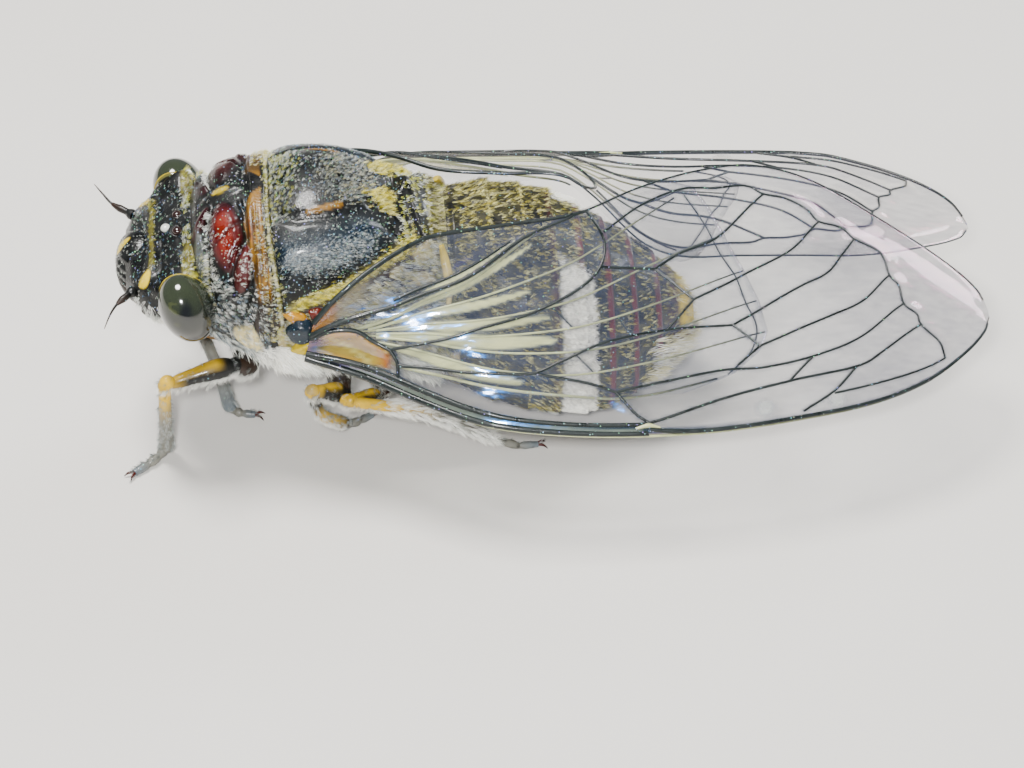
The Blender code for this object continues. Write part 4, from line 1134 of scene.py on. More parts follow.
for label, edges in FORE.items():
    share, across = np.meshgrid(np.linspace(0, 1, 120), np.linspace(0.15, 0.985, 66), indexing="ij")
    edge_x = np.interp(across, [a for a, _ in MARGIN_X], [x for _, x in MARGIN_X])
    spread = 0.42 + (across - 0.42) * smooth(share * 5 + 0.12) ** 0.8
    base_x = 13.6 + 1.6 * np.abs(across - 0.42)
    x = base_x + (edge_x - base_x) * share
    along = (x - edges[0][0][0]) / (WING_TIP_X - edges[0][0][0])
    flat = wing_point(edges, along, spread, HIND_LIFT)
    net = np.concatenate([on_hindwing(edges, line, 24) for _, _, line in HIND_VEINS])
    gap = nearest(flat.reshape(-1, 3), net).reshape(along.shape)
    grid = wing_point(edges, along, spread, HIND_LIFT - HIND_DIP * smooth(gap))
    film = hindwing_film(x.ravel(), spread.ravel(), share.ravel(), gap.ravel())
    settle(film_sheet("hindwing_film_" + label, grid, film), ("hindwing_" + label,))

# %% [markdown]
# Veins are hollow struts of dark green-black chitin. The tube tree sweeps the whole net of each wing.
# Those at the hindwing's base are cream, and a pale line runs outside the leading edge.

# %% Vein nets
VEIN = cuticle("chitin_vein_beaded", 0.16, 0.02, 0.3, 0.3)
vein_tone = np.array(linear("#141d1c"))
cream_tone = np.array(linear("#c9cd96"))
fading = (cream_tone, cream_tone * 0.8, vein_tone)  # cream at the base, dark at the tip
for label, edges in FORE.items():
    lines = [(on_forewing(edges, line), (r0 * VEIN_SWELL, r1 * VEIN_SWELL), (vein_tone,))
             for r0, r1, line in FORE_VEINS]
    edge_line = wing_point(edges, np.linspace(0.02, 0.9, 160), np.full(160, -0.008), -0.07)
    lines.append((edge_line, (0.1, 0.12, 0.09, 0.06, 0.03), fading))
    node_line = on_forewing(edges, ((462, 20), (480, 30), (497, 20)), 0.05)
    lines.append((node_line, (0.08, 0.17, 0.06), (cream_tone,)))
    settle(tubes("forewing_veins_" + label, lines, VEIN, 7, 0.32))
    lines = [(on_hindwing(edges, line), (r0, r1), fading if line[0][0] < 20 else (vein_tone,))
             for r0, r1, line in HIND_VEINS]
    settle(tubes("hindwing_veins_" + label, lines, VEIN, 7, 0.35))

# %% [markdown]
# At the wing's root sit small hinge plates: one round blue-black knob, a smaller one behind it,
# and yellow membrane between them and the thorax. They are little oval balls with soft dents.

# %% Wing hinges
HINGE_PARTS = (
    ((11.15, 7.05, 12.05), (0.95, 0.62, 0.95), "blue_black", 10),
    ((12.35, 7.35, 12.1), (0.42, 0.36, 0.55), "black", 0),
    ((11.2, 7.3, 10.95), (0.75, 0.4, 0.42), "yellow", -15),
    ((10.9, 6.75, 12.95), (0.9, 0.4, 0.4), "amber", 25),
    ((12.2, 6.9, 13.2), (0.6, 0.4, 0.42), "rust", 30),
    ((13.4, 7.25, 11.6), (1.1, 0.35, 0.6), "olive", 10),
)
for label, sign in (("left", -1), ("right", 1)):
    points, faces, tone = [], [], []
    for (x, y, z), half, colour, tilt in HINGE_PARTS:
        polar, turn = oval_grid(26, 32)
        bump = 0.06 * np.sin(polar * 5) * np.cos(turn * 2)
        part, part_faces = loft(oval_shell((x, sign * y, z), half, math.radians(tilt), polar, turn, bump))
        faces += [tuple(v + len(points) for v in f) for f in part_faces]
        points += part.tolist()
        tone += [COLOUR[colour]] * len(part)
    points = np.array(points)
    rough = np.clip(0.25 + 0.1 * ripple(points, 0.6, 31), 0.15, 0.5)
    settle(piece("wing_hinge_" + label, points, faces, BLACK_CUTICLE, np.array(tone), rough))

# %% [markdown]
# ## Legs
# Each leg runs coxa, trochanter, femur, tibia and three tarsal joints to a pair of claws. The thick
# fore femur carries teeth below; the hind tibia has a few spurs. They come from the tube tree, one
# piece a leg, with radii that swell at the joints. A second pass paints the yellow stripe along the top
# of each femur, which a colour that only runs along a tube can't give.

# %% Leg lines: root (x, side, degrees), hip, knee, shin, ankle, toes, radii, tibia colours
BLACK, YELLOW, GREY, SLATE = (COLOUR[k] for k in ("black", "leg_yellow", "leg_grey", "blue_grey"))
LEGS = {
    "fore_left": ((7.6, -1, 52), (6.9, -5.1, 7.7), (2.5, -6.3, 7.35), (), (2.25, -4.95, 0.9),
                  ((1.75, -5.35, 0.42), (1.1, -5.9, 0.3), (0.2, -6.6, 0.24)), (0.62, 0.44, 0.3),
                  (YELLOW, YELLOW, YELLOW, YELLOW, GREY, GREY)),
    "fore_right": ((7.4, 1, 58), (6.5, 4.0, 6.4), (4.8, 1.5, 4.9), ((5.75, -0.9, 3.3),), (6.3, -1.5, 0.9),
                   ((6.6, -1.55, 0.4), (7.1, -1.62, 0.27), (7.9, -1.75, 0.22)), (0.6, 0.42, 0.28),
                   (YELLOW, GREY, GREY, SLATE)),
    "mid_left": ((13.4, -1, 50), (13.6, -5.6, 5.3), (11.6, -6.8, 6.7), ((12.2, -5.95, 3.9),),
                 (13.5, -3.7, 0.95), ((14.0, -3.3, 0.45), (14.6, -2.85, 0.28), (15.4, -2.3, 0.22)),
                 (0.6, 0.42, 0.28), (YELLOW, YELLOW, GREY, BLACK, YELLOW, YELLOW, BLACK)),
    "mid_right": ((12.8, 1, 52), (12.4, 5.6, 5.2), (11.4, 8.2, 6.2), (), (12.4, 8.4, 0.9),
                  ((12.9, 8.55, 0.4), (13.6, 8.7, 0.27), (14.6, 8.9, 0.22)), (0.6, 0.42, 0.28),
                  (YELLOW, BLACK, YELLOW, YELLOW, BLACK)),
    "hind_left": ((16.2, -1, 58), (15.9, -4.7, 3.9), (14.0, -6.7, 5.7), ((18.5, -6.5, 4.2),), (22.6, -6.2, 1.7),
                  ((23.5, -6.1, 0.95), (24.6, -5.95, 0.35), (25.8, -5.76, 0.22)), (0.6, 0.4, 0.26),
                  (YELLOW, YELLOW, YELLOW, GREY, GREY)),
    "hind_right": ((16.2, 1, 58), (15.9, 4.7, 3.9), (14.4, 7.3, 5.6), ((18.0, 8.1, 3.6),), (21.6, 8.5, 1.2),
                   ((22.4, 8.55, 0.5), (23.3, 8.6, 0.27), (24.5, 8.5, 0.22)), (0.6, 0.4, 0.26),
                   (YELLOW, YELLOW, YELLOW, GREY, GREY)),
}


# %% Tubes of one leg
def knob(middle, way, radius, tone):
    """A round joint: a short tube whose radii follow a ball."""
    step = np.linspace(-1, 1, 13)
    radii = tuple(radius * np.sqrt(np.clip(1 - step ** 2, 0.002, 1)))
    return middle + np.outer(step, way) * radius, radii, (tone,)


def swelling(radius, shares):
    """Radii along a joint, as shares of its own radius."""
    return tuple(radius * share for share in shares)


def leg_lines(root, hip, knee, shin, ankle, toes, radii, tibia_tones):
    """All tubes of one leg, with its hip, knee and shin line for what is added later."""
    x, side, below = root
    femur_r, tibia_r, tarsus_r = radii
    angle = math.radians(90 + below) * -side
    socket = shell_point(TRUNK, np.array(x), np.array(angle), -0.5)
    out = shell_point(TRUNK, np.array(x), np.array(angle), 0.9)
    hip, knee, ankle = (np.array(p) for p in (hip, knee, ankle))
    lines = [(rounded_path([socket, out, hip], 8), swelling(femur_r, (1.5, 1.35, 1.1, 0.8)),
              (BLACK, COLOUR["brown"]))]
    lines.append((rounded_path([hip, hip * 0.6 + knee * 0.4 + (0, 0, 0.1), knee], 12),
                  swelling(femur_r, (0.7, 1.02, 1.1, 1.0, 0.82, 0.74, 0.4)),
                  (BLACK, BLACK, BLACK, BLACK, YELLOW)))
    way = (knee - hip) / np.linalg.norm(knee - hip)
    lines += [knob(hip, way, femur_r * 0.82, BLACK), knob(knee, way, femur_r * 0.76, YELLOW)]
    lines.append(knob(ankle, np.array((0.0, 0.0, 1.0)), tibia_r * 1.08, tibia_tones[-1]))
    bend = rounded_path([knee - way * 0.35, knee + (0, 0, -0.08), *map(np.array, shin), ankle], 14)
    lines.append((bend, (0.3, *swelling(tibia_r, (1.1, 0.92, 0.9, 0.9, 0.95, 1.1))), tibia_tones))
    path = [ankle] + [np.array(p) for p in toes]
    for i, (a, b) in enumerate(zip(path, path[1:])):
        last = i == len(toes) - 1
        lines.append((rounded_path([a, (a + b) / 2, a + (b - a) * 1.04], 6),
                      swelling(tarsus_r, (0.7, 1.0, 0.9 if last else 1.1, 0.75)),
                      (GREY, SLATE) if last else (GREY, GREY)))
    ahead = path[-1] - path[-2]
    ahead = ahead / np.linalg.norm(ahead)
    aside = np.array((-ahead[1], ahead[0], 0.0))
    for turn in (-1, 1):
        claw = [path[-1] - ahead * 0.1, path[-1] + ahead * 0.35 + aside * 0.2 * turn + (0, 0, 0.08),
                path[-1] + ahead * 0.62 + aside * 0.34 * turn - (0, 0, 0.12)]
        lines.append((rounded_path(claw, 6), (0.11, 0.08, 0.02), (COLOUR["rust"], BLACK)))
    return lines, hip, knee, bend


def leg_spines(label, hip, knee, bend):
    """Teeth under a fore femur, or spurs along a tibia."""
    lines = []
    if label.startswith("fore"):
        for share, size in ((0.35, 0.75), (0.6, 0.6), (0.78, 0.42)):
            seat = hip + (knee - hip) * share - (0, 0, 0.4)
            tooth = [seat, seat + (-0.06, 0, -size * 0.5), seat + (-0.22, 0, -size)]
            lines.append((tooth, (0.2, 0.13, 0.03), (BLACK, COLOUR["rust"])))
    if label.startswith("hind"):
        for share, turn in ((0.45, 1), (0.62, -1), (0.78, 1), (0.93, -1)):
            seat = bend[int(share * (len(bend) - 1))]
            spur = [seat, seat + (0.35, 0.3 * turn, -0.12), seat + (0.75, 0.5 * turn, -0.32)]
            lines.append((spur, (0.12, 0.08, 0.02), (COLOUR["rust"], BLACK)))
    return lines


# %% Build the legs
leg_skin = {}
for label, leg_parts in LEGS.items():
    lines, hip, knee, bend = leg_lines(*leg_parts)
    leg = tubes("leg_" + label, lines + leg_spines(label, hip, knee, bend), LEG_CUTICLE, 16, 0.4)
    points = (read(leg.data.vertices, "co", 3) - SHIFT) / MM
    upward = read(leg.data.vertex_normals, "vector", 3)[:, 2]
    painted = leg.data.attributes["paint"].data
    rgba = read(painted, "color", 4)
    femur = knee - hip
    share = ((points - hip) @ femur) / (femur @ femur)
    off = np.linalg.norm(points - hip - share[:, None] * femur, axis=1)
    stripe = smooth((upward - 0.62) / 0.2) * smooth((share - 0.1) / 0.2) * smooth((1.05 - share) / 0.1)
    rgba[:, :3] = mix(rgba[:, :3], YELLOW * 0.85, stripe * (off < 0.9) * 0.9)
    grime = ripple(points, 0.6, 41)
    rgba[:, :3] = mix(rgba[:, :3], BLACK, smooth((grime - 0.75) / 0.3) * 0.6)
    painted.foreach_set("color", rgba.astype(np.float32).ravel())
    leg_skin[label] = points
    settle(leg, tuple(part + "_" + label for part in ("coxa", "femur", "tibia", "tarsus")))

# %% [markdown]
# A pale smooth bar edges the sound organ's cover on each side, just behind the thorax.

# %% Bars beside the waist
for label, sign in (("left", 1), ("right", -1)):
    way = [shell_point(TRUNK, np.array(x), np.array(sign * math.radians(s * 10)), 0.12)
           for x, s in ((20.0, 3.3), (20.2, 4.2), (20.4, 5.3), (20.3, 6.6))]
    bar = [(rounded_path(way, 8), (0.16, 0.3, 0.3, 0.14), tones(COLOUR, "yellow 1.3, cream"))]
    settle(tubes("tymbal_bar_" + label, bar, LEG_CUTICLE, 10))

# %% [markdown]
# ## Pile
# Cicadas wear short pile: silver sparks on the black plates, thick yellow-green down in hollows and
# along rims, gold on the abdomen and a long white fringe below. Real hairs are 0.01 mm thick; here
# each is 0.02 to 0.05 mm at its foot, or they would vanish between pixels. Hair curves don't survive
# export, so every tuft is solid mesh. Roots are scattered over a skin with the local length, lean and
# colour worked out from the same marks as the shell, and a Geometry Nodes tree sets one small tuft on
# each.

# %% Pile finish
PILE, tree, shader = new_finish("chitin_hair_silky", {"Roughness": 0.33, "IOR": 1.55})
paint = add_node(tree, "ShaderNodeAttribute", attribute_name="paint")
blade = add_node(tree, "ShaderNodeAttribute", attribute_name="blade")
height = add_node(tree, "ShaderNodeSeparateXYZ", [("Vector", blade.outputs["Vector"])])
shade = add_node(tree, "ShaderNodeMapRange", [("Value", height.outputs["Y"]), ("To Min", 0.6), ("To Max", 1.4)])
tinted = add_node(tree, "ShaderNodeVectorMath", [(0, paint), (1, shade)], operation="MULTIPLY")
connect(tree, shader, [("Base Color", tinted)])
print(PILE.name, "nodes:", len(tree.nodes))


# %% One tuft, in units of hair radius across and one hair length up
PATCH_SIZE = 0.003  # the side of a tuft's patch on the bake map
ROOT_DEPTH = 0.03   # mm that a root is sunk into the shell


def tuft_shape(name, hairs, spread, seed, levels):
    """Three-sided tapering hairs, spread outward, with a ring of corners at each level (height, size)
    and a pointed tip; each corner keeps its own small map place."""
    chance = np.random.default_rng(seed)
    points, faces, maps = [], [], []
    for h in range(hairs):
        turn = 2 * math.pi * h / hairs + chance.uniform(-0.4, 0.4)
        foot = np.array((math.cos(turn), math.sin(turn))) * chance.uniform(0.8, 3.0)
        lean = np.array((math.cos(turn), math.sin(turn))) * spread * chance.uniform(0.3, 1.0)
        tall = chance.uniform(0.7, 1.0)
        start = len(points)
        for level, size in levels:
            for k in range(3):
                around = turn + 2 * math.pi * k / 3
                middle = foot + lean * level ** 2
                points.append((middle[0] + size * math.cos(around), middle[1] + size * math.sin(around),
                               tall * level))
                maps.append((h / hairs + k * 0.08, level * 0.9))
        points.append((*(foot + lean), tall))
        maps.append((h / hairs + 0.08, 1.0))
        tip = start + 3 * len(levels)
        for k in range(3):
            m = (k + 1) % 3
            for ring in range(start, tip - 3, 3):
                faces.append((ring + k, ring + m, ring + 3 + m, ring + 3 + k))
            faces.append((tip - 3 + k, tip - 3 + m, tip))
        faces.append((start + 2, start + 1, start))
    mesh = bpy.data.meshes.new(name)
    mesh.from_pydata(points, [], faces)
    store(mesh, "blade", "FLOAT2", maps)
    mesh.materials.append(PILE)
    return bpy.data.objects.new(name, mesh)


# %% The pile tree
PILE_TREE, pile_in, pile_out = new_tree("pile_on_roots", [
    ("Tuft", "NodeSocketObject"), ("Shortest", "NodeSocketFloat"), ("Longest", "NodeSocketFloat"),
    ("Patch", "NodeSocketFloat"), ("Seed", "NodeSocketInt"), ("Finish", "NodeSocketMaterial")])
tuft = add_node(PILE_TREE, "GeometryNodeObjectInfo", [("Object", pile_in["Tuft"])])
way = add_node(PILE_TREE, "GeometryNodeInputNamedAttribute", [("Name", "lie")], data_type="QUATERNION")
size = add_node(PILE_TREE, "GeometryNodeInputNamedAttribute", [("Name", "size")], data_type="FLOAT_VECTOR")
jitter = add_node(PILE_TREE, "FunctionNodeRandomValue", [
    (2, pile_in["Shortest"]), (3, pile_in["Longest"]), ("Seed", pile_in["Seed"])])
up = add_node(PILE_TREE, "ShaderNodeCombineXYZ", [("X", 1.0), ("Y", 1.0), ("Z", jitter.outputs[1])])
scale = add_node(PILE_TREE, "ShaderNodeVectorMath", [(0, size.outputs["Attribute"]), (1, up)],
                 operation="MULTIPLY")
placed = add_node(PILE_TREE, "GeometryNodeInstanceOnPoints", [
    ("Points", pile_in["Geometry"]), ("Instance", tuft.outputs["Geometry"]),
    ("Rotation", way.outputs["Attribute"]), ("Scale", scale)])
solid = add_node(PILE_TREE, "GeometryNodeRealizeInstances", [("Geometry", placed)])
home = add_node(PILE_TREE, "GeometryNodeInputNamedAttribute", [("Name", "patch")], data_type="FLOAT_VECTOR")
small = add_node(PILE_TREE, "GeometryNodeInputNamedAttribute", [("Name", "blade")], data_type="FLOAT_VECTOR")
shrunk = add_node(PILE_TREE, "ShaderNodeVectorMath", [
    (0, small.outputs["Attribute"]), ("Scale", pile_in["Patch"])], operation="SCALE")
spot = add_node(PILE_TREE, "ShaderNodeVectorMath", [(0, home.outputs["Attribute"]), (1, shrunk)],
                operation="ADD")
mapped = add_node(PILE_TREE, "GeometryNodeStoreNamedAttribute", [
    ("Geometry", solid), ("Name", "OFBake"), ("Value", spot)], data_type="FLOAT2", domain="CORNER")
dressed = add_node(PILE_TREE, "GeometryNodeSetMaterial", [
    ("Geometry", mapped), ("Material", pile_in["Finish"])])
connect(PILE_TREE, pile_out, [("Geometry", dressed)])
print(PILE_TREE.name, "nodes:", len(PILE_TREE.nodes))

# %% Two tufts, and how they are planted
SHORT_TUFT = tuft_shape("tuft_short", 4, 6.0, 1, ((0.0, 1.0),))
LONG_TUFT = tuft_shape("tuft_long", 4, 9.0, 2, ((0.0, 1.0), (0.55, 0.75)))
print("faces a tuft:", len(SHORT_TUFT.data.polygons), "and", len(LONG_TUFT.data.polygons))


def plant(name, roots, tuft, seed):
    """Set tufts on roots: arrays of place, direction, length, radius, colour and map place."""
    place, way, length, radius, tone, patch = roots
    count = len(place)
    mesh = bpy.data.meshes.new(name + "_roots")
    mesh.from_pydata((place * MM + SHIFT).tolist(), [], [])
    way = way / np.linalg.norm(way, axis=1, keepdims=True)
    turn = np.stack([1.0005 + way[:, 2], -way[:, 1], way[:, 0], 0 * way[:, 0]], 1)
    turn /= np.linalg.norm(turn, axis=1, keepdims=True)
    store(mesh, "lie", "QUATERNION", turn)
    store(mesh, "size", "FLOAT_VECTOR", np.stack([radius, radius, length], 1) * MM)
    store(mesh, "patch", "FLOAT_VECTOR", np.concatenate([patch, np.zeros((count, 1))], 1))
    store(mesh, "paint", "FLOAT_COLOR", tone)
    made = grow(name, put(name + "_roots", mesh), PILE_TREE, PILE, Tuft=tuft, Shortest=0.65, Longest=1.25,
                Patch=PATCH_SIZE, Seed=seed, Finish=PILE)
    for label in ("lie", "size", "patch"):
        if label in made.data.attributes:
            made.data.attributes.remove(made.data.attributes[label])
    print("  tufts:", count, "maps:", [layer.name for layer in made.data.uv_layers])
    return settle(made)


# %% [markdown]
# Roots are drawn at random over the unrolled shell with a fixed seed. Each layer of pile gives a mark
# from 0 to 1, how many tufts stand on a square millimetre, their length, their lean off the skin and
# their colour. Hairs point to the tail along the skin, with a little sideways play.

# %% Scatter roots over a shell
LEAN_PLAY, SIDE_PLAY = 9, 0.35  # how far single tufts stray: degrees of lean, and a share sideways
BRIGHTNESS = (0.75, 1.25)       # darkest and brightest share of a tuft's colour
MAP_EDGE = 0.01                 # free edge of the bake map


def shell_roots(table, relief, span, layers, tries, seed, scale=TRUNK_SCALE):
    """Roots of all layers on a shell between two x, drawn from the given number of tries a layer."""
    chance = np.random.default_rng(seed)
    found = []
    for mark, density, length, lean, colours, thick in layers:
        x = chance.uniform(span[0], span[1], tries)
        angle = chance.uniform(-math.pi, math.pi, tries)
        wide = table_value(table, x, 1)
        high = (table_value(table, x, 2) - table_value(table, x, 3)) / 2
        area = np.hypot(wide * np.cos(angle), high * np.sin(angle)) * (span[1] - span[0]) * 2 * math.pi / tries
        flat = shell_point(table, x, angle)
        keep = chance.uniform(0, 1, tries) < mark(x, way_round(angle, scale), flat) * density * area
        x, angle = x[keep], angle[keep]
        place = shell_point(table, x, angle, relief(x, angle) - ROOT_DEPTH)
        ahead = shell_point(table, x + 0.05, angle, relief(x + 0.05, angle) - ROOT_DEPTH) - place
        around = shell_point(table, x, angle + 0.01, relief(x, angle + 0.01) - ROOT_DEPTH) - place
        normal = np.cross(ahead, around)
        normal *= np.sign((normal * (place - (0, 0, 10))).sum(1))[:, None]
        ahead /= np.linalg.norm(ahead, axis=1, keepdims=True)
        around /= np.linalg.norm(around, axis=1, keepdims=True)
        normal /= np.linalg.norm(normal, axis=1, keepdims=True)
        tilt = np.radians(lean + chance.normal(0, LEAN_PLAY, len(x)))[:, None]
        aside = around * chance.normal(0, SIDE_PLAY, (len(x), 1))
        way = (ahead + aside) * np.cos(tilt) + normal * np.sin(tilt)
        choices = np.array(tones(HAIR, colours))
        tone = choices[chance.integers(0, len(choices), len(x))]
        tone = tone * chance.uniform(*BRIGHTNESS, (len(x), 1))
        patch = np.stack([(x - span[0]) / (span[1] - span[0]), angle / (2 * math.pi) + 0.5], 1)
        patch = patch * (1 - 2 * MAP_EDGE) + MAP_EDGE
        found.append((place, way, np.full(len(x), length), np.full(len(x), thick), tone, patch))
    return tuple(np.concatenate(parts) for parts in zip(*found))


def share_out(roots, chosen):
    """The chosen roots of a set."""
    return tuple(part[chosen] for part in roots)


HAIR = {key: np.array(linear(code)) for key, code in {
    "silver": "#d9ddd3", "grey": "#9aa19d", "gold": "#bcae34", "yellow": "#efe02a", "lime": "#c2c453",
    "olive": "#918c36", "white": "#f4f3ea", "cream": "#e0d9a6", "dark": "#3a3826", "blue_grey": "#7f929e",
    "blue": "#6f9ac6", "green": "#86b58c", "straw": "#f1eb9c"}.items()}


# %% [markdown]
# Each row below is one layer: its mark, tufts on a square millimetre, length in mm, lean in degrees,
# colours and hair radius in mm. The marks reuse the lines and ovals that shaped and coloured the shell,
# so pile fills the furrows and stops at the glossy swellings.

# %% Pile of the thorax
def rim_of(x, flat):
    """Height of roots above the mesonotum's lower edge, in mm."""
    return margin_height(x, flat[:, 2])


def off_lobes(x, s):
    """1 away from the bare glossy swellings of the pronotum."""
    most = np.max([oval_mark(x, s, *lobe) for lobe in (RED_MAIN, RED_FRONT, THIRD_LOBE)], axis=0)
    return smooth((-most - 0.02) / 0.12)


# In SPARKS the blue and green hairs are painted glints; the white, silver and grey ones are the hairs' own
# colour.
SPARKS = "white, silver, blue, green, grey 0.5"
YELLOW_PILE = "yellow, gold 0.7, straw, olive 0.5"
THORAX_PILE = (
    (lambda x, s, f: (x < 8.2) * off_lobes(x, s) * (s < 9), 19, 0.15, 34, SPARKS, 0.013),
    (lambda x, s, f: line_mark(x, s, ((5.75, 1.4), (5.7, 3.2), (5.6, 5.0), (5.9, 6.6)), 0.26), 100, 0.4, 24,
     "white, silver", 0.016),
    (lambda x, s, f: smooth((5.75 - x) / 0.3) * (s > 4.2) * (s < 10), 80, 0.45, 38,
     "lime, cream, silver, grey 0.5", 0.014),
    (lambda x, s, f: (x < 9.0) * (s > 6.0) * off_lobes(x, s) * (s < 13), 34, 0.45, 26,
     "silver, white, grey 0.5, blue_grey", 0.013),
    (lambda x, s, f: smooth(oval_mark(x, s, *THIRD_LOBE) / 0.4), 36, 0.26, 14, "white, silver", 0.014),
    (lambda x, s, f: smooth(oval_mark(x, s, (7.0, 4.0), (0.8, 1.3), -8) / 0.5), 14, 0.15, 24, "white", 0.013),
    (lambda x, s, f: bell(x, line_x(COLLAR_REAR, s) - 0.02 - 0.1 * ripple(f, 0.4, 15), 0.2) * (s < 9.6),
     90, 0.3, 38, "lime, cream, silver", 0.015),
    (lambda x, s, f: (x > line_x(COLLAR_REAR, s) - 1.1) * (x < line_x(COLLAR_REAR, s))
     * smooth((s - 1.0) / 1.5) * (s < 9.5), 48, 0.34, 14, "silver, cream, gold", 0.011),
    (lambda x, s, f: (x > 9.7) * (x < 17.4) * (rim_of(x, f) > 0.9)
     * (1 - 0.8 * line_mark(x, s, SIDE_BULGE, 0.9)), 15, 0.15, 40, SPARKS, 0.013),
    (lambda x, s, f: line_mark(x, s, SIDE_BULGE, 0.8) * (x > 10.2), 26, 0.22, 10, "blue_grey, grey", 0.010),
    (lambda x, s, f: line_mark(x, s, LOW_SHEEN, 0.6), 180, 0.26, 7, "blue_grey, silver 0.8", 0.010),
    (lambda x, s, f: smooth((11.8 - x) / 1.6) * (x > 9.6) * smooth((3.2 - s) / 0.8), 42, 0.3, 45,
     "lime, silver, grey", 0.014),
    (lambda x, s, f: smooth(oval_mark(x, s, (14.2, 0.5), (2.3, 2.1)) / 0.5), 58, 0.3, 34,
     "cream 0.6, grey, grey 0.6, grey 0.4", 0.012),
    (lambda x, s, f: smooth((oval_mark(x, s, (16.3, 1.5), (1.0, 0.9), 25) + 0.3 * ripple(f, 0.5, 7)) / 0.35)
     * smooth((np.hypot(x - 15.8, s - 1.95) - 0.26) / 0.1), 160, 0.5, 40, YELLOW_PILE, 0.014),
    (lambda x, s, f: bell(rim_of(x, f), 0.42, 0.34) * (x > 10.6) * (x < 18.3) * (s < 9),
     150, 0.42, 28, YELLOW_PILE, 0.014),
    (lambda x, s, f: (x > 17.3) * (x < 19.5) * (s < 5), 16, 0.3, 35, "silver, lime", 0.02),
    (lambda x, s, f: (x > 20.1) * (s < 10), 56, 0.75, 32, "gold 0.7, straw, olive 0.5, dark", 0.014),
    (lambda x, s, f: smooth((x - 19.3) / 0.2) * (s < 11), 66, 0.7, 32,
     "lime 0.9, cream, olive 0.5, dark, dark 0.6", 0.014),
    (lambda x, s, f: (x > 10) * smooth((-rim_of(x, f) - 0.1) / 0.3) * (s < 13.5), 36, 0.6, 28,
     "silver, cream, olive, grey", 0.018),
)
FRINGE = (
    (lambda x, s, f: smooth(oval_mark(x, s, (9.6, 11.6), (1.7, 1.7)) / 0.3), 62, 0.95, 34, "white", 0.026),
    (lambda x, s, f: smooth((s - 12.5) / 1.5) * (x > 5.2), 15, 1.1, 38, "white, silver", 0.026),
    (lambda x, s, f: smooth((s - 10.8) / 0.8) * smooth((13.6 - s) / 0.8) * (x > 10), 26, 1.25, 30,
     "white, silver", 0.027),
)
roots = shell_roots(TRUNK, thorax_relief, (4.75, 20.9), THORAX_PILE, 90000, 51)
half = roots[0][:, 0] < 10.6
plant("coat_pronotum", share_out(roots, half), SHORT_TUFT, 61)
late = roots[0][:, 1] < 0
plant("coat_thorax_left", share_out(roots, ~half & late), SHORT_TUFT, 62)
plant("coat_thorax_right", share_out(roots, ~half & ~late), SHORT_TUFT, 63)
roots = shell_roots(TRUNK, thorax_relief, (4.75, 20.9), FRINGE, 60000, 52)
plant("coat_fringe", roots, LONG_TUFT, 64)

# %% [markdown]
# The abdomen's down is gold and lies almost flat, thinner over the bare hind edges of the rings. The
# chalky band gets short dense white hair, and longer pale hair fringes the tail.

# %% Pile of the abdomen
ABDOMEN_PILE = (
    (lambda x, s, f: (x > 20.9) * (x < 35) * (s < 13.2) * (1 - chalk_mark(x, s))
     * smooth((ripple(f, 0.7, 33) + 0.6) / 0.8)
     * (1 - 0.95 * smooth((ring_share(x) - 0.62) / 0.12) * (x > 29)), 46, 0.46, 15,
     "gold, olive 0.5, straw, dark 0.6, dark", 0.012),
    (lambda x, s, f: smooth((24.5 - x) / 2.0) * (s < 10) * smooth((ripple(f, 0.7, 33) + 0.45) / 0.7),
     44, 0.62, 18, "gold, straw, olive 0.5, dark 0.6, dark 0.4", 0.012),
    (lambda x, s, f: smooth((ring_share(x) - 0.75) / 0.2) * (s < 12) * (x < 27) * (x > 21), 22, 0.35, 16,
     "gold, straw", 0.014),
    (lambda x, s, f: chalk_mark(x, s), 100, 0.3, 18, "white 1.15", 0.02),
    (lambda x, s, f: smooth((s - 13) / 1.0) * (x > 21), 12, 0.4, 22, "white, silver", 0.02),
)
TAIL_PILE = (
    (lambda x, s, f: smooth((x - 32.2) / 1.5) * smooth((s - 6.5) / 2), 17, 1.2, 34, "cream, white", 0.025),
    (lambda x, s, f: smooth((x - 34.6) / 0.6), 8, 0.7, 30, "gold, cream", 0.02),
)


def chalk_mark(x, s):
    """1 on the chalk-white band across the middle rings."""
    return smooth((x - 27.2) / 0.3) * smooth((29.6 - x) / 0.4) * smooth((s - 2.0) / 1.0) * (s < 13.4)


roots = shell_roots(TRUNK, abdomen_relief, (20.42, 36.15), ABDOMEN_PILE, 90000, 53)
front = roots[0][:, 0] < 25.6
plant("coat_abdomen_front", share_out(roots, front), SHORT_TUFT, 65)
left = roots[0][:, 1] < 0
plant("coat_abdomen_left", share_out(roots, ~front & left), SHORT_TUFT, 66)
plant("coat_abdomen_right", share_out(roots, ~front & ~left), SHORT_TUFT, 67)
roots = shell_roots(TRUNK, abdomen_relief, (20.9, 36.15), TAIL_PILE, 40000, 54)
plant("coat_tail", roots, LONG_TUFT, 68)

# %% [markdown]
# The head is nearly bare: a line of yellow-green pile follows the brows, tufts stand behind and
# beside each eye, white hair hangs below, and single hairs spark on the black top.

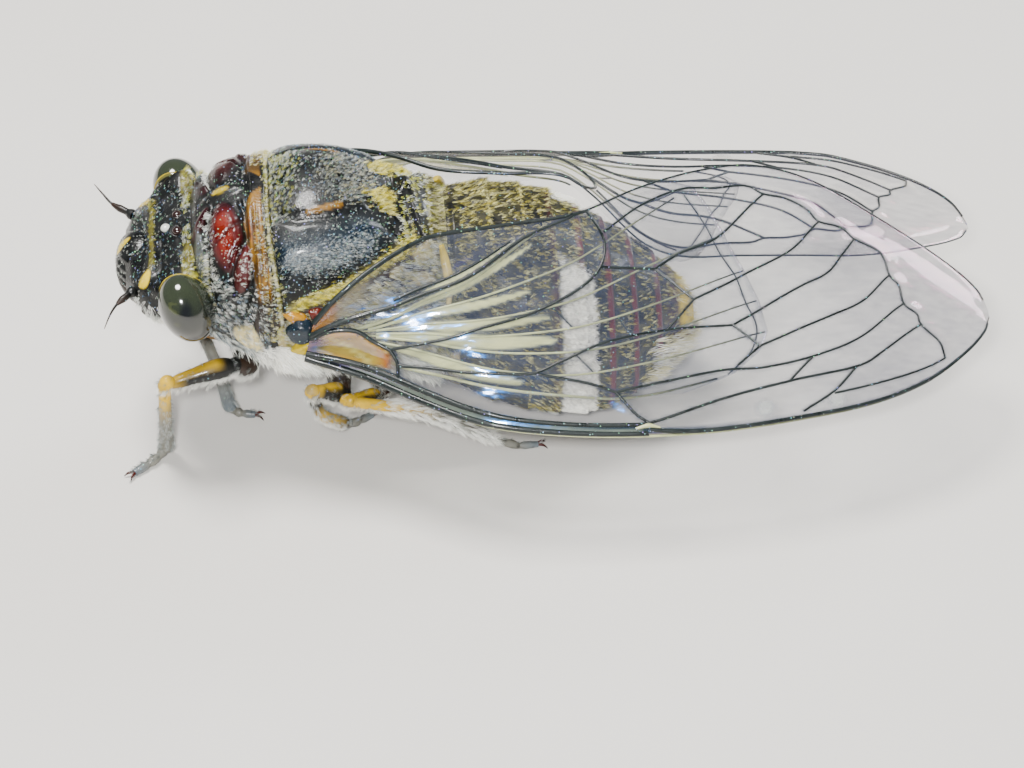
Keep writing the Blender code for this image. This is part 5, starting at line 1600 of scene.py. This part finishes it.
# %% Pile of the head
HEAD_PILE = (
    (lambda x, s, f: (x > 0.9) * (s < 5.5), 22, 0.14, 38, SPARKS, 0.013),
    (lambda x, s, f: line_mark(x, s, BROW[2:], 0.15) * (s < 2.9) * smooth((ripple(f, 0.5, 17) + 0.6) / 0.8), 95,
     0.26, 42, "lime, gold 0.7, olive 0.7", 0.013),
    (lambda x, s, f: smooth(oval_mark(x, s, (4.35, 2.9), (0.45, 1.3), -18) / 0.4), 52, 0.34, 36,
     "lime, olive 0.7, dark, silver", 0.014),
    (lambda x, s, f: smooth(oval_mark(x, s, (4.4, 4.3), (0.5, 0.9)) / 0.3), 110, 0.5, 46,
     "yellow 0.8, lime, cream, dark", 0.015),
    (lambda x, s, f: smooth(oval_mark(x, s, (4.3, 1.2), (0.3, 0.9)) / 0.4), 60, 0.3, 40,
     "silver, lime", 0.02),
    (lambda x, s, f: (s > 5.3) * (s < 7.6) * (x < 2.8), 12, 0.55, 60, "silver, white", 0.02),
    (lambda x, s, f: (s > 7.5) * (x > 1.5), 22, 0.5, 36, "white, silver", 0.021),
)
roots = shell_roots(HEAD, head_relief, (0.6, 4.7), HEAD_PILE, 60000, 55, HEAD_SCALE)
plant("coat_head", roots, SHORT_TUFT, 69)

# %% [markdown]
# Legs and face aren't on the unrolled shell, so their roots are drawn on the faces of their meshes, as
# many as each face's area allows. Hair leans down its own leg joint, grows longer and whiter below,
# and makes a thick white brush on the shins of the hind legs.

# %% Hair on the legs and face
LEG_HAIR, LEG_ROOT_DEPTH = 0.017, 0.02  # mm: a hair's radius and how deep its root is sunk
BANDS = len(LEGS) + 1                   # strips on the bake map: one a leg and one for the face


def mesh_roots(points, quads, away, rule, per_mm2, seed, band):
    """Roots on the quads of a mesh; away is the way hair lies on each quad, and rule gives the share
    of roots kept, length, lean and colour."""
    chance = np.random.default_rng(seed)
    a, b, c, d = (points[quads[:, k]] for k in range(4))
    cross = np.cross(c - a, d - b) / 2
    area = np.linalg.norm(cross, axis=1)
    count = chance.poisson(area * per_mm2)
    pick = np.repeat(np.arange(len(quads)), count)
    u, v = chance.uniform(0, 1, (2, len(pick), 1))
    place = (a[pick] * (1 - u) + b[pick] * u) * (1 - v) + (d[pick] * (1 - u) + c[pick] * u) * v
    normal = cross[pick] / np.maximum(area[pick], 1e-9)[:, None]
    share, length, lean, tone = rule(place, normal)
    keep = chance.uniform(0, 1, len(pick)) < share
    along = away[pick]
    tilt = np.radians(lean)[:, None]
    way = along * np.cos(tilt) + normal * np.sin(tilt) + chance.normal(0, 0.12, normal.shape)
    patch = np.stack([(pick + u[:, 0]) / len(quads), (band + 0.1 + 0.8 * v[:, 0]) / BANDS], 1)
    patch = patch * (1 - 2 * MAP_EDGE) + MAP_EDGE
    roots = (place - normal * LEG_ROOT_DEPTH, way, length, np.full(len(pick), LEG_HAIR), tone, patch)
    return tuple(part[keep] for part in roots)


def leg_rule(place, normal):
    """Short grey hair, longer and white below, thin on top of the thighs and off near the floor."""
    low = smooth((-normal[:, 2] + 0.1) / 0.8)
    high_up = smooth((place[:, 2] - 3.0) / 4.0)
    length = 0.32 + 0.3 * low * high_up
    tone = mix(np.tile(HAIR["grey"] * 0.8, (len(place), 1)), HAIR["white"], low)
    bare = smooth((place[:, 2] - 4.6) / 1.0) * (1 - low)
    clear = 1 - smooth((0.95 - place[:, 2]) / 0.25) * (normal[:, 2] < 0.5)
    return (0.3 + 0.6 * low) * (1 - 0.8 * bare) * clear, length, np.full(len(place), 42.0), tone


def hind_rule(place, normal):
    """The shin of a hind leg wears a thick brush of long white hair."""
    share, length, lean, tone = leg_rule(place, normal)
    brush = smooth((place[:, 0] - 15.0) / 1.5) * smooth((place[:, 2] - 1.0) / 0.6)
    tone = mix(tone, HAIR["white"], brush * 0.8)
    return np.maximum(share, brush), length + 0.45 * brush, lean - 20 * brush, tone


def face_rule(place, normal):
    """Short sparse silver hairs on the front half of the face."""
    tone = np.tile(HAIR["silver"], (len(place), 1))
    count = len(place)
    return smooth((1.9 - place[:, 0]) / 0.3) * 0.8, np.full(count, 0.2), np.full(count, 50.0), tone


# %% Plant the legs and the face
root_sets = []
for band, (label, leg_parts) in enumerate(LEGS.items()):
    hip, knee, shin, ankle, toes = leg_parts[1:6]
    quads = quads_of([tuple(p.vertices) for p in bpy.data.objects["leg_" + label].data.polygons])
    points = leg_skin[label]
    chain = np.array([hip, knee, *shin, ankle, *toes], float)
    bones = np.diff(chain, axis=0)
    bones /= np.linalg.norm(bones, axis=1, keepdims=True)
    centres = (chain[1:] + chain[:-1]) / 2
    nearest_bone = ((points[quads].mean(1)[:, None] - centres[None]) ** 2).sum(-1).argmin(1)
    rule = hind_rule if label.startswith("hind") else leg_rule
    root_sets.append(mesh_roots(points, quads, bones[nearest_bone], rule, 36, 71 + band, band))
quads = quads_of(face_faces)
down = np.tile((0.0, 0.0, -1.0), (len(quads), 1))
root_sets.append(mesh_roots(face_points, quads, down, face_rule, 16, 81, len(LEGS)))
legs_and_face = tuple(np.concatenate(group) for group in zip(*root_sets))
plant("coat_legs_face", legs_and_face, SHORT_TUFT, 70)

# %% [markdown]
# ## Floor, light and camera
# A plain pale floor stands for whatever the model rests on. One broad soft light from above and one
# small bright one beside the camera give the long soft sheen and the sharp sparks of hard cuticle, and
# a third from behind draws the far edges. The long lens and its place repeat the picture's viewing
# angle, 43 degrees above the floor.

# %% Floor
FLOOR, tree, shader = new_finish("floor_matt_paint", {"Roughness": 0.8})
place = add_node(tree, "ShaderNodeTexCoord").outputs["Object"]
cloud = add_node(tree, "ShaderNodeTexNoise", [("Vector", place), ("Scale", 30.0), ("Detail", 4.0)])
floor_tone = add_node(tree, "ShaderNodeMix", [("Factor", cloud), (6, (*linear("#d9d5ce"), 1.0)),
                      (7, (*linear("#e2dfd9"), 1.0))], data_type="RGBA")
connect(tree, shader, [("Base Color", floor_tone.outputs[2])])
FLOOR_HALF = 0.6  # metres
mesh = bpy.data.meshes.new("floor")
mesh.from_pydata([(x * FLOOR_HALF, y * FLOOR_HALF, 0) for x, y in ((-1, -1), (1, -1), (1, 1), (-1, 1))], [],
                 [(0, 1, 2, 3)])
mesh.materials.append(FLOOR)
put("floor", mesh)

# %% Light
world = bpy.data.worlds.new("studio")
world.use_nodes = True
sky = world.node_tree.nodes["Background"]
connect(world.node_tree, sky, [("Color", (0.86, 0.9, 1.0, 1.0)), ("Strength", 0.27)])
bpy.context.scene.world = world


def lamp(name, place_mm, aim_mm, size_mm, watts, colour):
    """An area light at a place, turned to its aim, both in millimetres of the frame."""
    data = bpy.data.lights.new(name, "AREA")
    data.shape = "DISK"
    data.size = size_mm * MM
    data.energy = watts
    data.color = colour
    made = put(name, data)
    made.location = Vector(place_mm) * MM
    made.rotation_euler = (Vector(aim_mm) - Vector(place_mm)).to_track_quat("-Z", "Y").to_euler()


lamp("soft_top", (-60, 40, 260), (0, 0, 8), 95, 1.15, (1.0, 0.98, 0.95))
lamp("front_spark", (-30, -190, 190), (-5, 0, 8), 24, 0.85, (1.0, 1.0, 1.0))
lamp("rear_rim", (180, 160, 120), (0, 0, 8), 90, 0.45, (0.9, 0.95, 1.0))
print("lights:", len(bpy.data.lights))

# %% Camera
AZIMUTH, ELEVATION, DISTANCE = math.radians(-4), math.radians(43), 260.0  # mm
AIM = np.array((24.5, -1.4, 1.5)) * MM + SHIFT
level = math.cos(ELEVATION)
back = Vector((math.sin(AZIMUTH) * level, -math.cos(AZIMUTH) * level, math.sin(ELEVATION)))
data = bpy.data.cameras.new("view")
data.lens = 142.0
data.sensor_width = 36.0
data.clip_start = 0.01
data.clip_end = 5.0
camera = put("view", data)
camera.location = Vector(AIM) + back * DISTANCE * MM
camera.rotation_mode = "QUATERNION"
camera.rotation_quaternion = (-back).to_track_quat("-Z", "Y")
bpy.context.scene.camera = camera
print("camera at, mm:", [round(v / MM, 1) for v in camera.location])
